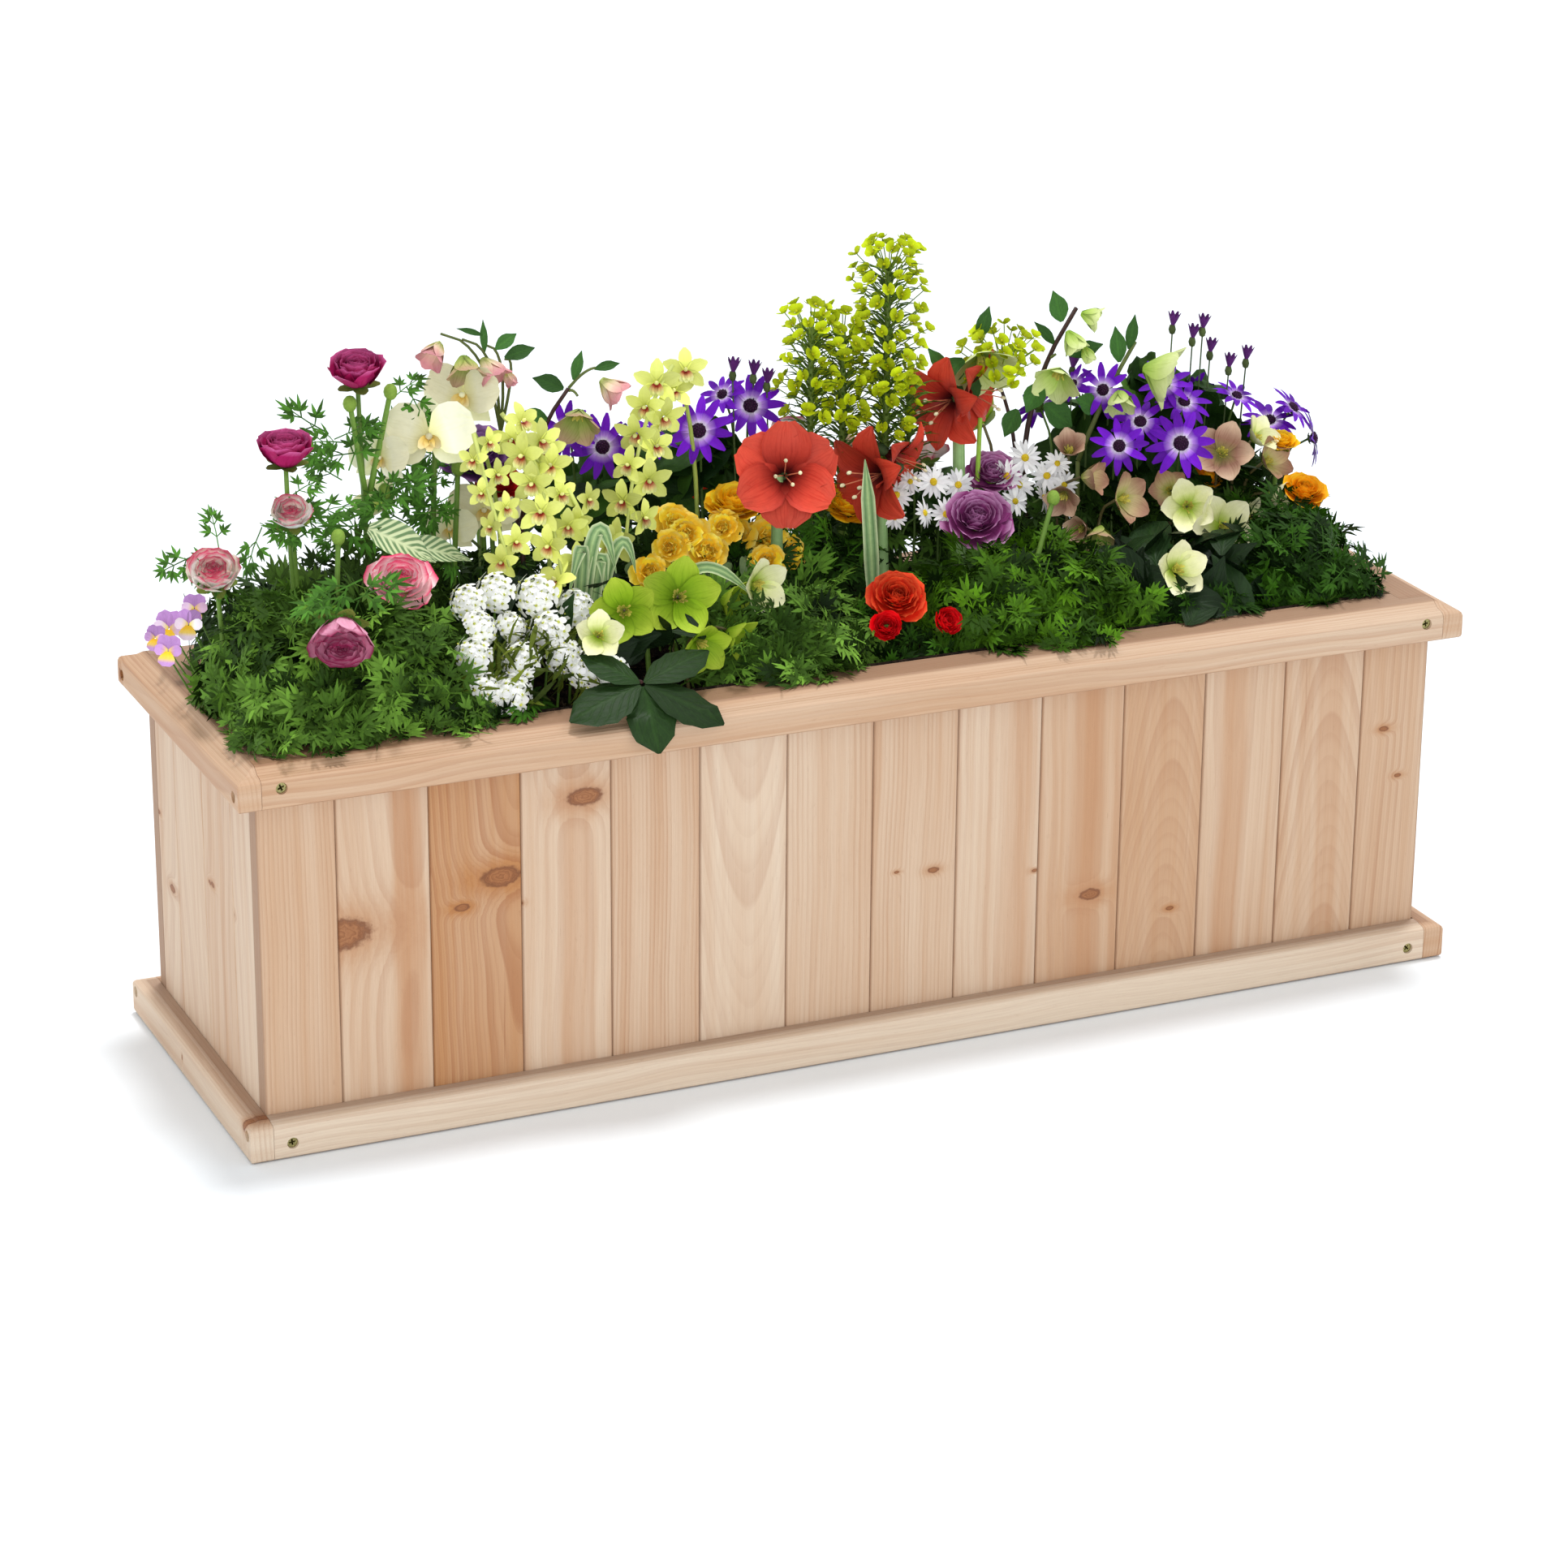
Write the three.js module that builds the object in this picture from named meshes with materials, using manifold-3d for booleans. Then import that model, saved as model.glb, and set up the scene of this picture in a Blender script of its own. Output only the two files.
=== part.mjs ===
// Raised garden planter box: tongue and groove softwood walls on a slatted floor, a moulded
// cap rail screwed round the top, a plain skirt rail screwed round the foot, potting soil and
// a dense planting that lifts out in one block.
// Millimetres. +Z up, +X along the length, -Y is the front. Origin: middle of the footprint.
import * as THREE from 'three';
import { mergeVertices } from 'three/addons/utils/BufferGeometryUtils.js';
import Module from 'manifold-3d';

// Driving dimensions
const LENGTH = 1016; // over the cap rails
const DEPTH = 306; // over the cap rails
const HEIGHT = 305; // floor to the top of the cap rails
const RAIL = 18; // how far cap and skirt rails stand out from the walls
const BOARD = 14; // wall board thickness
const COVER = 71.7; // face width of a full wall board
const GAP = 0.3; // play between touching pieces
const LONG_BOARDS = 14; // boards in a long wall, first and last ripped narrower
const END_BOARDS = 4; // boards in an end wall, first and last ripped narrower
const BOARD_FOOT = 2; // the boards hang just clear of the ground
const CAP_DROP = 29.5; // height of the cap rail's front
const CAP_FLANGE = 8; // thickness of the flange that covers the board ends
const CAP_WIDTH = 42; // outer edge of the cap to its inner edge
const NOTCH = 27; // how far in from the front the end cap rails start their flange
const SKIRT = 29.5; // height of the skirt rail
const SHORT_RIP = 1.5; // the last front board was ripped this much short
const FLOOR_Z = 40; // top of the bearers
const FLOOR_T = 12; // floor board thickness
const FLOOR_W = 78; // floor board width
const POST = 27; // square corner post
const SOIL_TOP = 272;
const SCREW = { long: 28, r: 2.3, head: 4.5, cone: 2.4, sunk: 1.9 }; // its countersunk hole
const CAP_SCREW = { x: 15, z: 291, y: 11, endZ: 285.5 }; // in from the ends of the rail
const SKIRT_SCREW = { x: 14.5, z: 12, y: 8, endZ: 20 };

const BODY_X = LENGTH / 2 - RAIL; // outer face of the end walls
const BODY_Y = DEPTH / 2 - RAIL; // outer face of the long walls
const WALL_TOP = HEIGHT - CAP_FLANGE - GAP;

const wasm = await Module();
wasm.setup();

// ---------- shapes ----------
const place = (geometry, x, y, z) => geometry.translate(x, y, z);

function prism(points, depth) {
  const shape = new THREE.Shape(points.map(([a, b]) => new THREE.Vector2(a, b)));
  return new THREE.ExtrudeGeometry(shape, { depth, bevelEnabled: false, steps: 1 });
}
// outline in (x, y), standing from z0 to z1
const upright = (points, z0, z1) => place(prism(points, z1 - z0), 0, 0, z0);
// outline in (x, z), running from y0 to y1
function runY(points, y0, y1) {
  return place(prism(points, y1 - y0).rotateX(Math.PI / 2), 0, y1, 0);
}
// outline in (y, z), running from x0 to x1
function runX(points, x0, x1) {
  const turn = new THREE.Matrix4().makeBasis(
    new THREE.Vector3(0, 1, 0), new THREE.Vector3(0, 0, 1), new THREE.Vector3(1, 0, 0));
  return place(prism(points, x1 - x0).applyMatrix4(turn), x0, 0, 0);
}
function block(x0, x1, y0, y1, z0, z1) {
  return place(new THREE.BoxGeometry(x1 - x0, y1 - y0, z1 - z0),
    (x0 + x1) / 2, (y0 + y1) / 2, (z0 + z1) / 2);
}

function solid(geometry) {
  const bare = geometry.clone();
  bare.deleteAttribute('normal');
  bare.deleteAttribute('uv');
  const joined = mergeVertices(bare, 1e-4);
  return new wasm.Manifold(new wasm.Mesh({
    numProp: 3,
    vertProperties: new Float32Array(joined.attributes.position.array),
    triVerts: new Uint32Array(joined.index.array),
  }));
}
function shapeOf(manifold) {
  const mesh = manifold.getMesh();
  const geometry = new THREE.BufferGeometry();
  const xyz = new Float32Array(mesh.numProp === 3 ? mesh.vertProperties : []);
  geometry.setAttribute('position', new THREE.BufferAttribute(xyz, 3));
  geometry.setIndex(new THREE.BufferAttribute(new Uint32Array(mesh.triVerts), 1));
  geometry.computeVertexNormals();
  return geometry;
}
const cut = (body, tools) => tools.reduce((left, tool) => left.subtract(tool), body);
const join = (parts) => parts.reduce((all, part) => all.add(part));

// quarter rounds as short straight runs
function arc(cx, cy, r, from, to, steps) {
  const points = [];
  for (let i = 0; i <= steps; i++) {
    const a = ((from + ((to - from) * i) / steps) * Math.PI) / 180;
    points.push([cx + r * Math.cos(a), cy + r * Math.sin(a)]);
  }
  return points;
}

// ---------- materials ----------
const timber = (colour) =>
  new THREE.MeshStandardMaterial({ color: colour, roughness: 0.62, metalness: 0 });
const wallWood = timber(0xe3c5a2);
const railWood = timber(0xe0bd98);
const innerWood = timber(0xd8bb94);
const soilMix = new THREE.MeshStandardMaterial({ color: 0x1e1712, roughness: 0.95, metalness: 0 });
const leafMass = new THREE.MeshStandardMaterial({ color: 0x3f7a2c, roughness: 0.7, metalness: 0 });

const planter = new THREE.Group();
function add(name, geometry, material, parent = planter) {
  const mesh = new THREE.Mesh(geometry, material);
  mesh.name = name;
  parent.add(mesh);
  return mesh;
}

// ---------- walls ----------
// Outline of one tongue and groove board, u across the wall, v in from its outer face.
function boardOutline(u0, u1, grooved, tongued) {
  const bevel = 1;
  const edge = (u, s, shape) => shape.map(([du, v]) => [u + s * du, v]);
  const left = grooved
    ? edge(u0, 1, [[0, BOARD], [0, 9.4], [6.2, 9.4], [6.2, 4.6], [0, 4.6], [0, bevel], [bevel, 0]])
    : edge(u0, 1, [[0, BOARD], [0, 0.5], [0.5, 0]]);
  const right = tongued
    ? edge(u1, -1, [[bevel, 0], [0, bevel], [0, 5], [-5.4, 5], [-5.4, 9], [0, 9], [0, BOARD]])
    : edge(u1, -1, [[0.5, 0], [0, 0.5], [0, BOARD]]);
  return [...left, ...right];
}

// One wall of boards lying in its own frame: outer face at -face in y, u along x.
function wall(prefix, half, face, count, turn, drill, short = 0) {
  const side = new THREE.Group();
  side.rotation.z = turn;
  planter.add(side);
  const ripped = (2 * half - (count - 2) * COVER) / 2;
  let u = -half;
  for (let i = 0; i < count; i++) {
    const last = i === count - 1;
    const wide = i === 0 || last ? ripped : COVER;
    const u0 = u + (i === 0 ? 0 : GAP / 2);
    const u1 = u + wide - (last ? short : GAP / 2);
    const outline = boardOutline(u0, u1, i > 0, !last).map(([a, v]) => [a, v - face]);
    let geometry = upright(outline, BOARD_FOOT, WALL_TOP);
    if (drill && (i === 0 || last)) geometry = shapeOf(cut(solid(geometry), drill));
    add(`${prefix}_${String(i + 1).padStart(2, '0')}`, geometry, wallWood, side);
    u += wide;
  }
}

// ---------- screw holes ----------
// A countersunk hole, point down, mouth towards +Y, deep enough for the whole screw.
function drilled() {
  const { long, cone, r, head, sunk } = SCREW;
  const points = [
    [0, -long - 0.6], [r, -long - 0.6], [r, -cone - 0.1], [head, 0], [head, sunk + 1], [0, sunk + 1],
  ];
  return new THREE.LatheGeometry(points.map(([a, b]) => new THREE.Vector2(a, b)), 14);
}
// Where each hole's mouth lies and which way it faces.
const seats = [];
for (const sx of [-1, 1]) {
  for (const sy of [-1, 1]) {
    const [endX, faceY] = [sx * LENGTH / 2, sy * DEPTH / 2];
    seats.push({ x: sx * (BODY_X - CAP_SCREW.x), y: faceY, z: CAP_SCREW.z, out: [0, sy] });
    seats.push({ x: endX, y: sy * (DEPTH / 2 - CAP_SCREW.y), z: CAP_SCREW.endZ, out: [sx, 0] });
    seats.push({ x: sx * (BODY_X - SKIRT_SCREW.x), y: faceY, z: SKIRT_SCREW.z, out: [0, sy] });
    seats.push({ x: endX, y: sy * (DEPTH / 2 - SKIRT_SCREW.y), z: SKIRT_SCREW.endZ, out: [sx, 0] });
  }
}
const holes = seats.map(({ x, y, z, out: [ox, oy] }) =>
  solid(place(drilled().rotateZ(Math.atan2(-ox, oy)), x - ox * SCREW.sunk, y - oy * SCREW.sunk, z)));

// ---------- rails ----------
// Outer half of a rail's section: d out from the wall face, z up, from foot to top.
const round = 3;
const capEdge = [
  ...arc(RAIL - round, HEIGHT - CAP_DROP + round, round, -90, 0, 3),
  [RAIL, HEIGHT - 11],
  [RAIL - 0.9, HEIGHT - 8.3], [RAIL - 2.6, HEIGHT - 6.8], [RAIL - 5.2, HEIGHT - 5.9],
  [RAIL - 9, HEIGHT - 5.2], [RAIL - 11, HEIGHT - 4.2], [2, HEIGHT - 0.5], [0.6, HEIGHT],
];
const skirtEdge = [
  ...arc(RAIL - round, round, round, -90, 0, 3),
  [RAIL, SKIRT - 5.2], [RAIL - 0.8, SKIRT - 3.2], [RAIL - 2.4, SKIRT - 1.9], [RAIL - 5, SKIRT - 1.3],
  [RAIL - 8, SKIRT - 1], [RAIL - 10, SKIRT],
];
// Full section across the box from one outer edge to the other.
function section(edge, half) {
  const right = edge.map(([d, z]) => [half + d, z]);
  const left = [...edge].reverse().map(([d, z]) => [-half - d, z]);
  return [...right, ...left];
}
// A frame moulded on all four sides and open in the middle.
function frame(edge, openX, openY, rabbetTop) {
  const low = Math.min(...edge.map(([, z]) => z));
  const ring = solid(runY(section(edge, BODY_X), -DEPTH, DEPTH))
    .intersect(solid(runX(section(edge, BODY_Y), -LENGTH, LENGTH)));
  const middle = solid(block(-openX, openX, -openY, openY, low - 5, HEIGHT + 5));
  const rabbet = solid(block(-BODY_X - GAP, BODY_X + GAP, -BODY_Y - GAP, BODY_Y + GAP, low - 5, rabbetTop));
  return cut(ring, [middle, rabbet]);
}
// Splits the frame into two long rails and two end rails that run past them.
function rails(prefix, ring, openX, notchY, drill) {
  const top = HEIGHT + 5;
  for (const s of [-1, 1]) {
    const between = (a, b) => [Math.min(s * a, s * b), Math.max(s * a, s * b)];
    const longSide = join([
      solid(block(-BODY_X + GAP / 2, BODY_X - GAP / 2, ...between(notchY, DEPTH), -5, top)),
      solid(block(-openX + GAP, openX - GAP, ...between(20, DEPTH), -5, top)),
    ]);
    const name = s < 0 ? 'front' : 'back';
    add(`${prefix}_rail_${name}`, shapeOf(cut(ring.intersect(longSide), drill)), railWood);
    const inner = notchY - GAP;
    const endSide = join([
      solid(block(...between(BODY_X + GAP / 2, LENGTH), -DEPTH, DEPTH, -5, top)),
      solid(block(...between(openX, BODY_X + 5), -inner, inner, -5, top)),
    ]);
    const end = s < 0 ? 'left' : 'right';
    add(`${prefix}_rail_${end}`, shapeOf(cut(ring.intersect(endSide), drill)), railWood);
  }
}

// ---------- build the box ----------
const toWall = (turn) => holes.map((hole) => solid(shapeOf(hole).rotateZ(-turn)));
wall('front_board', BODY_X, BODY_Y, LONG_BOARDS, 0, toWall(0), SHORT_RIP);
wall('back_board', BODY_X, BODY_Y, LONG_BOARDS, Math.PI, toWall(Math.PI));
const endHalf = BODY_Y - BOARD - GAP;
wall('left_end_board', endHalf, BODY_X, END_BOARDS, -Math.PI / 2, null);
wall('right_end_board', endHalf, BODY_X, END_BOARDS, Math.PI / 2, null);

const openX = LENGTH / 2 - CAP_WIDTH;
const openY = DEPTH / 2 - CAP_WIDTH;
rails('cap', frame(capEdge, openX, openY, WALL_TOP + GAP), openX, DEPTH / 2 - NOTCH, holes);
rails('skirt', frame(skirtEdge, BODY_X + GAP, BODY_Y + GAP, SKIRT + 1), BODY_X, BODY_Y - 1, holes);

const inX = BODY_X - BOARD - GAP; // inner faces of the walls, less the play
const inY = BODY_Y - BOARD - GAP;
for (const [name, sx, sy] of [['front_left', -1, -1], ['front_right', 1, -1], ['back_left', -1, 1],
  ['back_right', 1, 1]]) {
  const [xa, xb] = [sx * (inX - POST), sx * inX].sort((a, b) => a - b);
  const [ya, yb] = [sy * (inY - POST), sy * inY].sort((a, b) => a - b);
  add(`corner_post_${name}`, block(xa, xb, ya, yb, FLOOR_Z + FLOOR_T + 2 * GAP, WALL_TOP), innerWood);
}
for (const [name, x] of [['left', -380], ['middle', 0], ['right', 380]]) {
  add(`floor_bearer_${name}`, block(x - 20, x + 20, -inY, inY, FLOOR_Z - 20, FLOOR_Z), innerWood);
}
const pitch = inY - FLOOR_W / 2;
for (const [name, y] of [['front', -pitch], ['middle', 0], ['back', pitch]]) {
  add(`floor_board_${name}`, block(-inX, inX, y - FLOOR_W / 2, y + FLOOR_W / 2,
    FLOOR_Z + GAP, FLOOR_Z + GAP + FLOOR_T), innerWood);
}

// ---------- soil and planting, one block that lifts out ----------
const play = 1.5;
const soilX = openX - play;
const soilY = openY - play;
const soilFoot = FLOOR_Z + FLOOR_T + 2 * GAP;
const cornerX = inX - POST - play;
const cornerY = inY - POST - play;
add('potting_soil', upright([
  [-cornerX, -soilY], [cornerX, -soilY], [cornerX, -cornerY], [soilX, -cornerY], [soilX, cornerY],
  [cornerX, cornerY], [cornerX, soilY], [-cornerX, soilY], [-cornerX, cornerY], [-soilX, cornerY],
  [-soilX, -cornerY], [-cornerX, -cornerY]], soilFoot, SOIL_TOP), soilMix);

// Each clump is a plain mass with the height line of its flowers along the box.
const clumpFoot = SOIL_TOP + GAP;
const clumps = {
  planting_left: [[-446, 0], [-151, 0], [-151, 240], [-215, 285], [-300, 318], [-375, 290], [-458, 200],
    [-458, 44], [-446, 34]],
  planting_middle: [[-149, 0], [149, 0], [149, 250], [105, 300], [92, 338], [55, 338], [0, 300], [-60, 245],
    [-149, 255]],
  planting_right: [[151, 0], [446, 0], [446, 34], [458, 44], [458, 110], [400, 190], [300, 235],
    [235, 262], [190, 250], [151, 235]],
};
const across = [[-104, clumpFoot], [104, clumpFoot], [104, 360], [92, 480], [60, 560], [45, 620], [-45, 620],
  [-60, 560], [-92, 480], [-104, 360]];
for (const [name, line] of Object.entries(clumps)) {
  const along = solid(runY(line.map(([x, z]) => [x, z + clumpFoot]), -DEPTH / 2, DEPTH / 2));
  add(name, shapeOf(along.intersect(solid(runX(across, -LENGTH / 2, LENGTH / 2)))), leafMass);
}

export default planter;
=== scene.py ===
"""A wooden planter box with a moulded cap rail and a foot skirt, filled with a mixed spring planting.

The boards, rails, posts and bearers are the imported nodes. The screws, the soil and every plant are made here.
"""

import math

import bpy
import numpy as np
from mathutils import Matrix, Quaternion, Vector


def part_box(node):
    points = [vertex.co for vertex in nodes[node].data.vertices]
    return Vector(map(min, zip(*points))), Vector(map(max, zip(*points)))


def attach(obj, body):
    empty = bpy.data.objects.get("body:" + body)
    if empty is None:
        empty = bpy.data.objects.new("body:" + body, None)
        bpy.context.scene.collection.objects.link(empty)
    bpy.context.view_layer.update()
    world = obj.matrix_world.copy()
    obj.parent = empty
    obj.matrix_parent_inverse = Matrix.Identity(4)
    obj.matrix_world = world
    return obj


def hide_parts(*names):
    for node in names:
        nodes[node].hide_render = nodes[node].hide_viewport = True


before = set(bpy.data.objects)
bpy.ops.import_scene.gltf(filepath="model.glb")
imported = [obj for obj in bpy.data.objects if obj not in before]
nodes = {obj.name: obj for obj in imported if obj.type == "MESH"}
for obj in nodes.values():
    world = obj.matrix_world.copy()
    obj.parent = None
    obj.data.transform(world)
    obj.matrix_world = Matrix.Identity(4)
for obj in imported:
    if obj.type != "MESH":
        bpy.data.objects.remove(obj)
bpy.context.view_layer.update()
MM = 0.001
X, Y, Z = 0, 1, 2


# ---------------------------------------------------------------- material fields

class Field:
    """A value that changes over a surface, so that a pattern reads as its formula."""

    def __init__(self, tree, socket):
        self.tree, self.socket = tree, socket

    def maths(self, operation, *others, clamp=False):
        node = self.tree.nodes.new("ShaderNodeMath")
        node.operation, node.use_clamp = operation, clamp
        for place, value in enumerate((self, *others)):
            feed(self.tree, value, node.inputs[place])
        return Field(self.tree, node.outputs[0])

    def __add__(self, other): return self.maths("ADD", other)
    def __sub__(self, other): return self.maths("SUBTRACT", other)
    def __mul__(self, other): return self.maths("MULTIPLY", other)
    def __truediv__(self, other): return self.maths("DIVIDE", other)
    def __rsub__(self, other): return (self * -1.0) + other
    __radd__, __rmul__ = __add__, __mul__

    def clamped(self): return self.maths("ADD", 0.0, clamp=True)
    def fraction(self): return self.maths("FRACT")
    def root(self): return self.maths("SQRT")
    def falloff(self): return (self * self * -1.0).maths("EXPONENT")

    def ramp(self, low, high):
        """Nought below low, one above high, and a smooth step between."""
        step = made(self.tree, "MapRange", {"Value": self, "From Min": low, "From Max": high},
                    interpolation_type="SMOOTHSTEP")
        return out(step, "Result")


def feed(tree, value, socket):
    if isinstance(value, Field):
        tree.links.new(value.socket, socket)
    else:
        socket.default_value = value


def made(tree, kind, inputs=None, **settings):
    """A shader node with its settings and its inputs, which are values or fields."""
    node = tree.nodes.new("ShaderNode" + kind)
    for key, value in settings.items():
        setattr(node, key, value)
    for key, value in (inputs or {}).items():
        feed(tree, value, node.inputs[key])
    return node


def out(node, name=0):
    return Field(node.id_data, node.outputs[name])


def linear(screen):
    """Screen colours from 0 to 255 as linear light."""
    share = np.clip(np.asarray(screen, float) / 255, 0, 1)
    return np.where(share <= 0.04045, share / 12.92, ((share + 0.055) / 1.055) ** 2.4)


def colour(*screen):
    return (*[float(part) for part in linear(screen)], 1.0)


def mixed(tree, share, first, second, blend="MIX"):
    """First where share is nought, second where it is one."""
    node = tree.nodes.new("ShaderNodeMix")
    node.data_type, node.blend_type = "RGBA", blend
    for place, value in ((0, share), (6, first), (7, second)):
        feed(tree, value, node.inputs[place])
    return Field(tree, node.outputs[2])


def noise(tree, place, scale, detail=2.0, roughness=0.5):
    return out(made(tree, "TexNoise",
                    {"Vector": place, "Scale": scale, "Detail": detail, "Roughness": roughness}))


def joined(tree, across, along, depth):
    return out(made(tree, "CombineXYZ", {0: across, 1: along, 2: depth}))


def split(tree, place):
    node = made(tree, "SeparateXYZ", {0: place})
    return [out(node, axis) for axis in (X, Y, Z)]


def object_place(tree):
    return out(made(tree, "TexCoord"), "Object")


def attribute(tree, name, result="Color", source="GEOMETRY"):
    """An attribute of the mesh or, where source is OBJECT, a custom property of the object."""
    return out(made(tree, "Attribute", attribute_type=source, attribute_name=name), result)


def group(name, inputs, outputs):
    """A new node group: (tree, its inputs as fields, a function that joins its outputs)."""
    tree = bpy.data.node_groups.new(name, "ShaderNodeTree")
    for kind, direction in ((inputs, "INPUT"), (outputs, "OUTPUT")):
        for label, socket_type in kind.items():
            tree.interface.new_socket(label, in_out=direction, socket_type="NodeSocket" + socket_type)
    entry, leave = tree.nodes.new("NodeGroupInput"), tree.nodes.new("NodeGroupOutput")

    def close(**results):
        for label, value in results.items():
            feed(tree, value, leave.inputs[label])
    return tree, {label: Field(tree, entry.outputs[label]) for label in inputs}, close


def material(name, **constants):
    """A new material: (material, tree, its Principled shader). Constants are the shader's own socket values."""
    finish = bpy.data.materials.new(name)
    finish.use_nodes = True
    tree = finish.node_tree
    shader = tree.nodes["Principled BSDF"]
    for key, value in constants.items():
        shader.inputs[key.replace("_", " ")].default_value = value
    return finish, tree, shader


def finished(tree, shader, tint, height, distance, strength):
    """The shader's colour, and a bump of that many metres on its normal."""
    tree.links.new(tint.socket, shader.inputs["Base Color"])
    node = made(tree, "Bump", {"Height": height, "Distance": distance, "Strength": strength})
    tree.links.new(node.outputs[0], shader.inputs["Normal"])


# ---------------------------------------------------------------- wood

BOARD_LOOKS = {look: look.replace("_", " ").title() for look in (
    "seed", "tone", "contrast", "pith", "cut", "tilt", "spacing", "pink", "middle", "half", "knot_a", "knot_b")}
KNOTS = ("Knot A", "Knot B")


def wood_figure():
    """The figure of sawn softwood, as a solid pattern.

    A growth ring is a contour of the distance from the pith: the root of (across - pith) squared plus
    (cut + tilt times along + depth) squared. Tilt turns straight lines into cathedral arches. A knot swells the
    rings round it, and has a dark rim, rings of its own and an amber halo.
    """
    labels = ["Across", "Along", "Depth", *BOARD_LOOKS.values()]
    tree, field, close = group("wood_figure", {label: "Vector" if label in KNOTS else "Float" for label in labels},
                               {"Colour": "Color", "Height": "Float", "Roughness": "Float"})
    across, along, depth, seed = [field[label] for label in ("Across", "Along", "Depth", "Seed")]
    contrast = field["Contrast"]

    def drawn_out(side, pull, third, detail=2.0, roughness=0.5):
        """Noise that runs along the board."""
        return noise(tree, joined(tree, side, along * pull, third), 1.0, detail, roughness)

    swell, core, rim, halo, whorl = 0.0, 0.0, 0.0, 0.0, 0.0
    for label in KNOTS:
        knot_across, knot_along, radius = split(tree, field[label])
        size = radius.maths("MAXIMUM", 0.00001)
        sway = noise(tree, joined(tree, across, along, seed), 260.0) - 0.5
        side, rise = (across - knot_across) / size, (along - knot_along) / size
        away = (side * side * 0.48 + rise * rise * 1.9).root() + sway * 0.6
        swell = (away * 0.42).falloff() * 1.7 + swell
        core = (1.0 - away.ramp(0.78, 1.05)).maths("MAXIMUM", core)
        rim = ((away - 0.95) * 5.5).falloff().maths("MAXIMUM", rim)
        halo = (away * 0.5).falloff().maths("MAXIMUM", halo)
        whorl = (away * 3.8).fraction() * (1.0 - away.ramp(0.9, 1.1)) + whorl
    wander = drawn_out(across * 6.0, 4.0, seed) - 0.5
    ripple = drawn_out(across * 60.0, 14.0, seed + 7.0) - 0.5
    lateral = across - field["Pith"] + wander * 0.014 + ripple * 0.0010
    deep = along * field["Tilt"] + field["Cut"] + depth + wander * 0.004
    ring = (lateral * lateral + deep * deep).root() / field["Spacing"] + swell
    turn = ring.fraction()
    year = drawn_out(ring.maths("FLOOR") * 0.37, 2.5, seed, 1.0).ramp(0.3, 0.7)
    late = turn.ramp(0.35, 0.88) * (1.0 - turn.ramp(0.93, 1.0)) * (year * 0.8 + 0.2)
    hair = (ring * 3.0).fraction().ramp(0.5, 0.95) * (1.0 - field["Cut"].ramp(0.04, 0.08) * 0.4)
    heart = 1.0 - (lateral.maths("ABSOLUTE") - swell * 0.006).ramp(0.006, 0.015)
    fibre = drawn_out(across * 1500.0, 26.0, depth * 700.0, 3.0, 0.6)
    pore = drawn_out(across * 700.0, 95.0, seed + 3.0, 2.0, 0.6)
    streak = drawn_out(lateral * 90.0, 1.6, seed + 11.0, 3.0, 0.55)
    cloud = drawn_out(across * 12.0, 3.0, seed + 19.0)
    dark = drawn_out(lateral * 420.0, 5.0, seed + 23.0).ramp(0.66, 0.80)
    # inward is the distance in from the board's long edges, where the last mix below paints shade
    inward = field["Half"] - (across - field["Middle"]).maths("ABSOLUTE")
    figure = colour(224, 206, 184)
    for share, tint in (
            (field["Tone"] + (streak - 0.5) * 0.55 + (cloud - 0.5) * 0.35 + halo * 0.35, (182, 127, 76)),
            (field["Pink"] * (heart * 0.75 + streak.ramp(0.45, 0.7) * 0.45), (191, 146, 110)),
            (late * contrast, (158, 98, 58)), (hair * contrast * 0.30, (152, 94, 56)),
            (dark * contrast * 0.75, (144, 84, 46)), (fibre.ramp(0.3, 0.9) * 0.16, (150, 98, 62)),
            (pore.ramp(0.64, 0.8) * 0.14, (134, 80, 48)), (halo * 0.26, (168, 104, 56)),
            (core * 0.75, (160, 102, 60)), (whorl * core * 0.6, (112, 62, 34)), (rim * 0.76, (112, 64, 38)),
            # painted shade: darker within 1.8 mm of a board's long edges, for the shadow in the grooves between
            # boards
            ((1.0 - inward.ramp(0.0001, 0.0018)) * 0.5, (116, 72, 44))):
        figure = mixed(tree, share.clamped(), figure, colour(*tint))
    close(Colour=figure, Height=fibre * 0.35 + late * 0.45 - pore.ramp(0.6, 0.8) * 0.3 - rim * 0.8,
          Roughness=fibre * 0.12 - late * 0.08 + 0.56)
    return tree


WOOD_FIGURE = wood_figure()


def wood_material(name, across, along, depth):
    """Sawn wood whose length lies along one axis of the frame. A board's own look is in its custom properties."""
    finish, tree, shader = material(name, Specular_IOR_Level=0.35)
    place = split(tree, object_place(tree))
    inputs = {"Across": place[across], "Along": place[along], "Depth": place[depth]}
    for look, label in BOARD_LOOKS.items():
        inputs[label] = attribute(tree, look, "Vector" if label in KNOTS else "Fac", "OBJECT")
    # painted light: a rail's tone falls along its length by this slope, so it grows paler towards +X as if more light
    # fell there
    inputs["Tone"] = inputs["Tone"] - place[along] * attribute(tree, "fade", "Fac", "OBJECT")
    figure = made(tree, "Group", inputs, node_tree=WOOD_FIGURE)
    tree.links.new(figure.outputs["Roughness"], shader.inputs["Roughness"])
    finished(tree, shader, out(figure, "Colour"), out(figure, "Height"), 0.00035, 0.7)
    return finish


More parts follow.
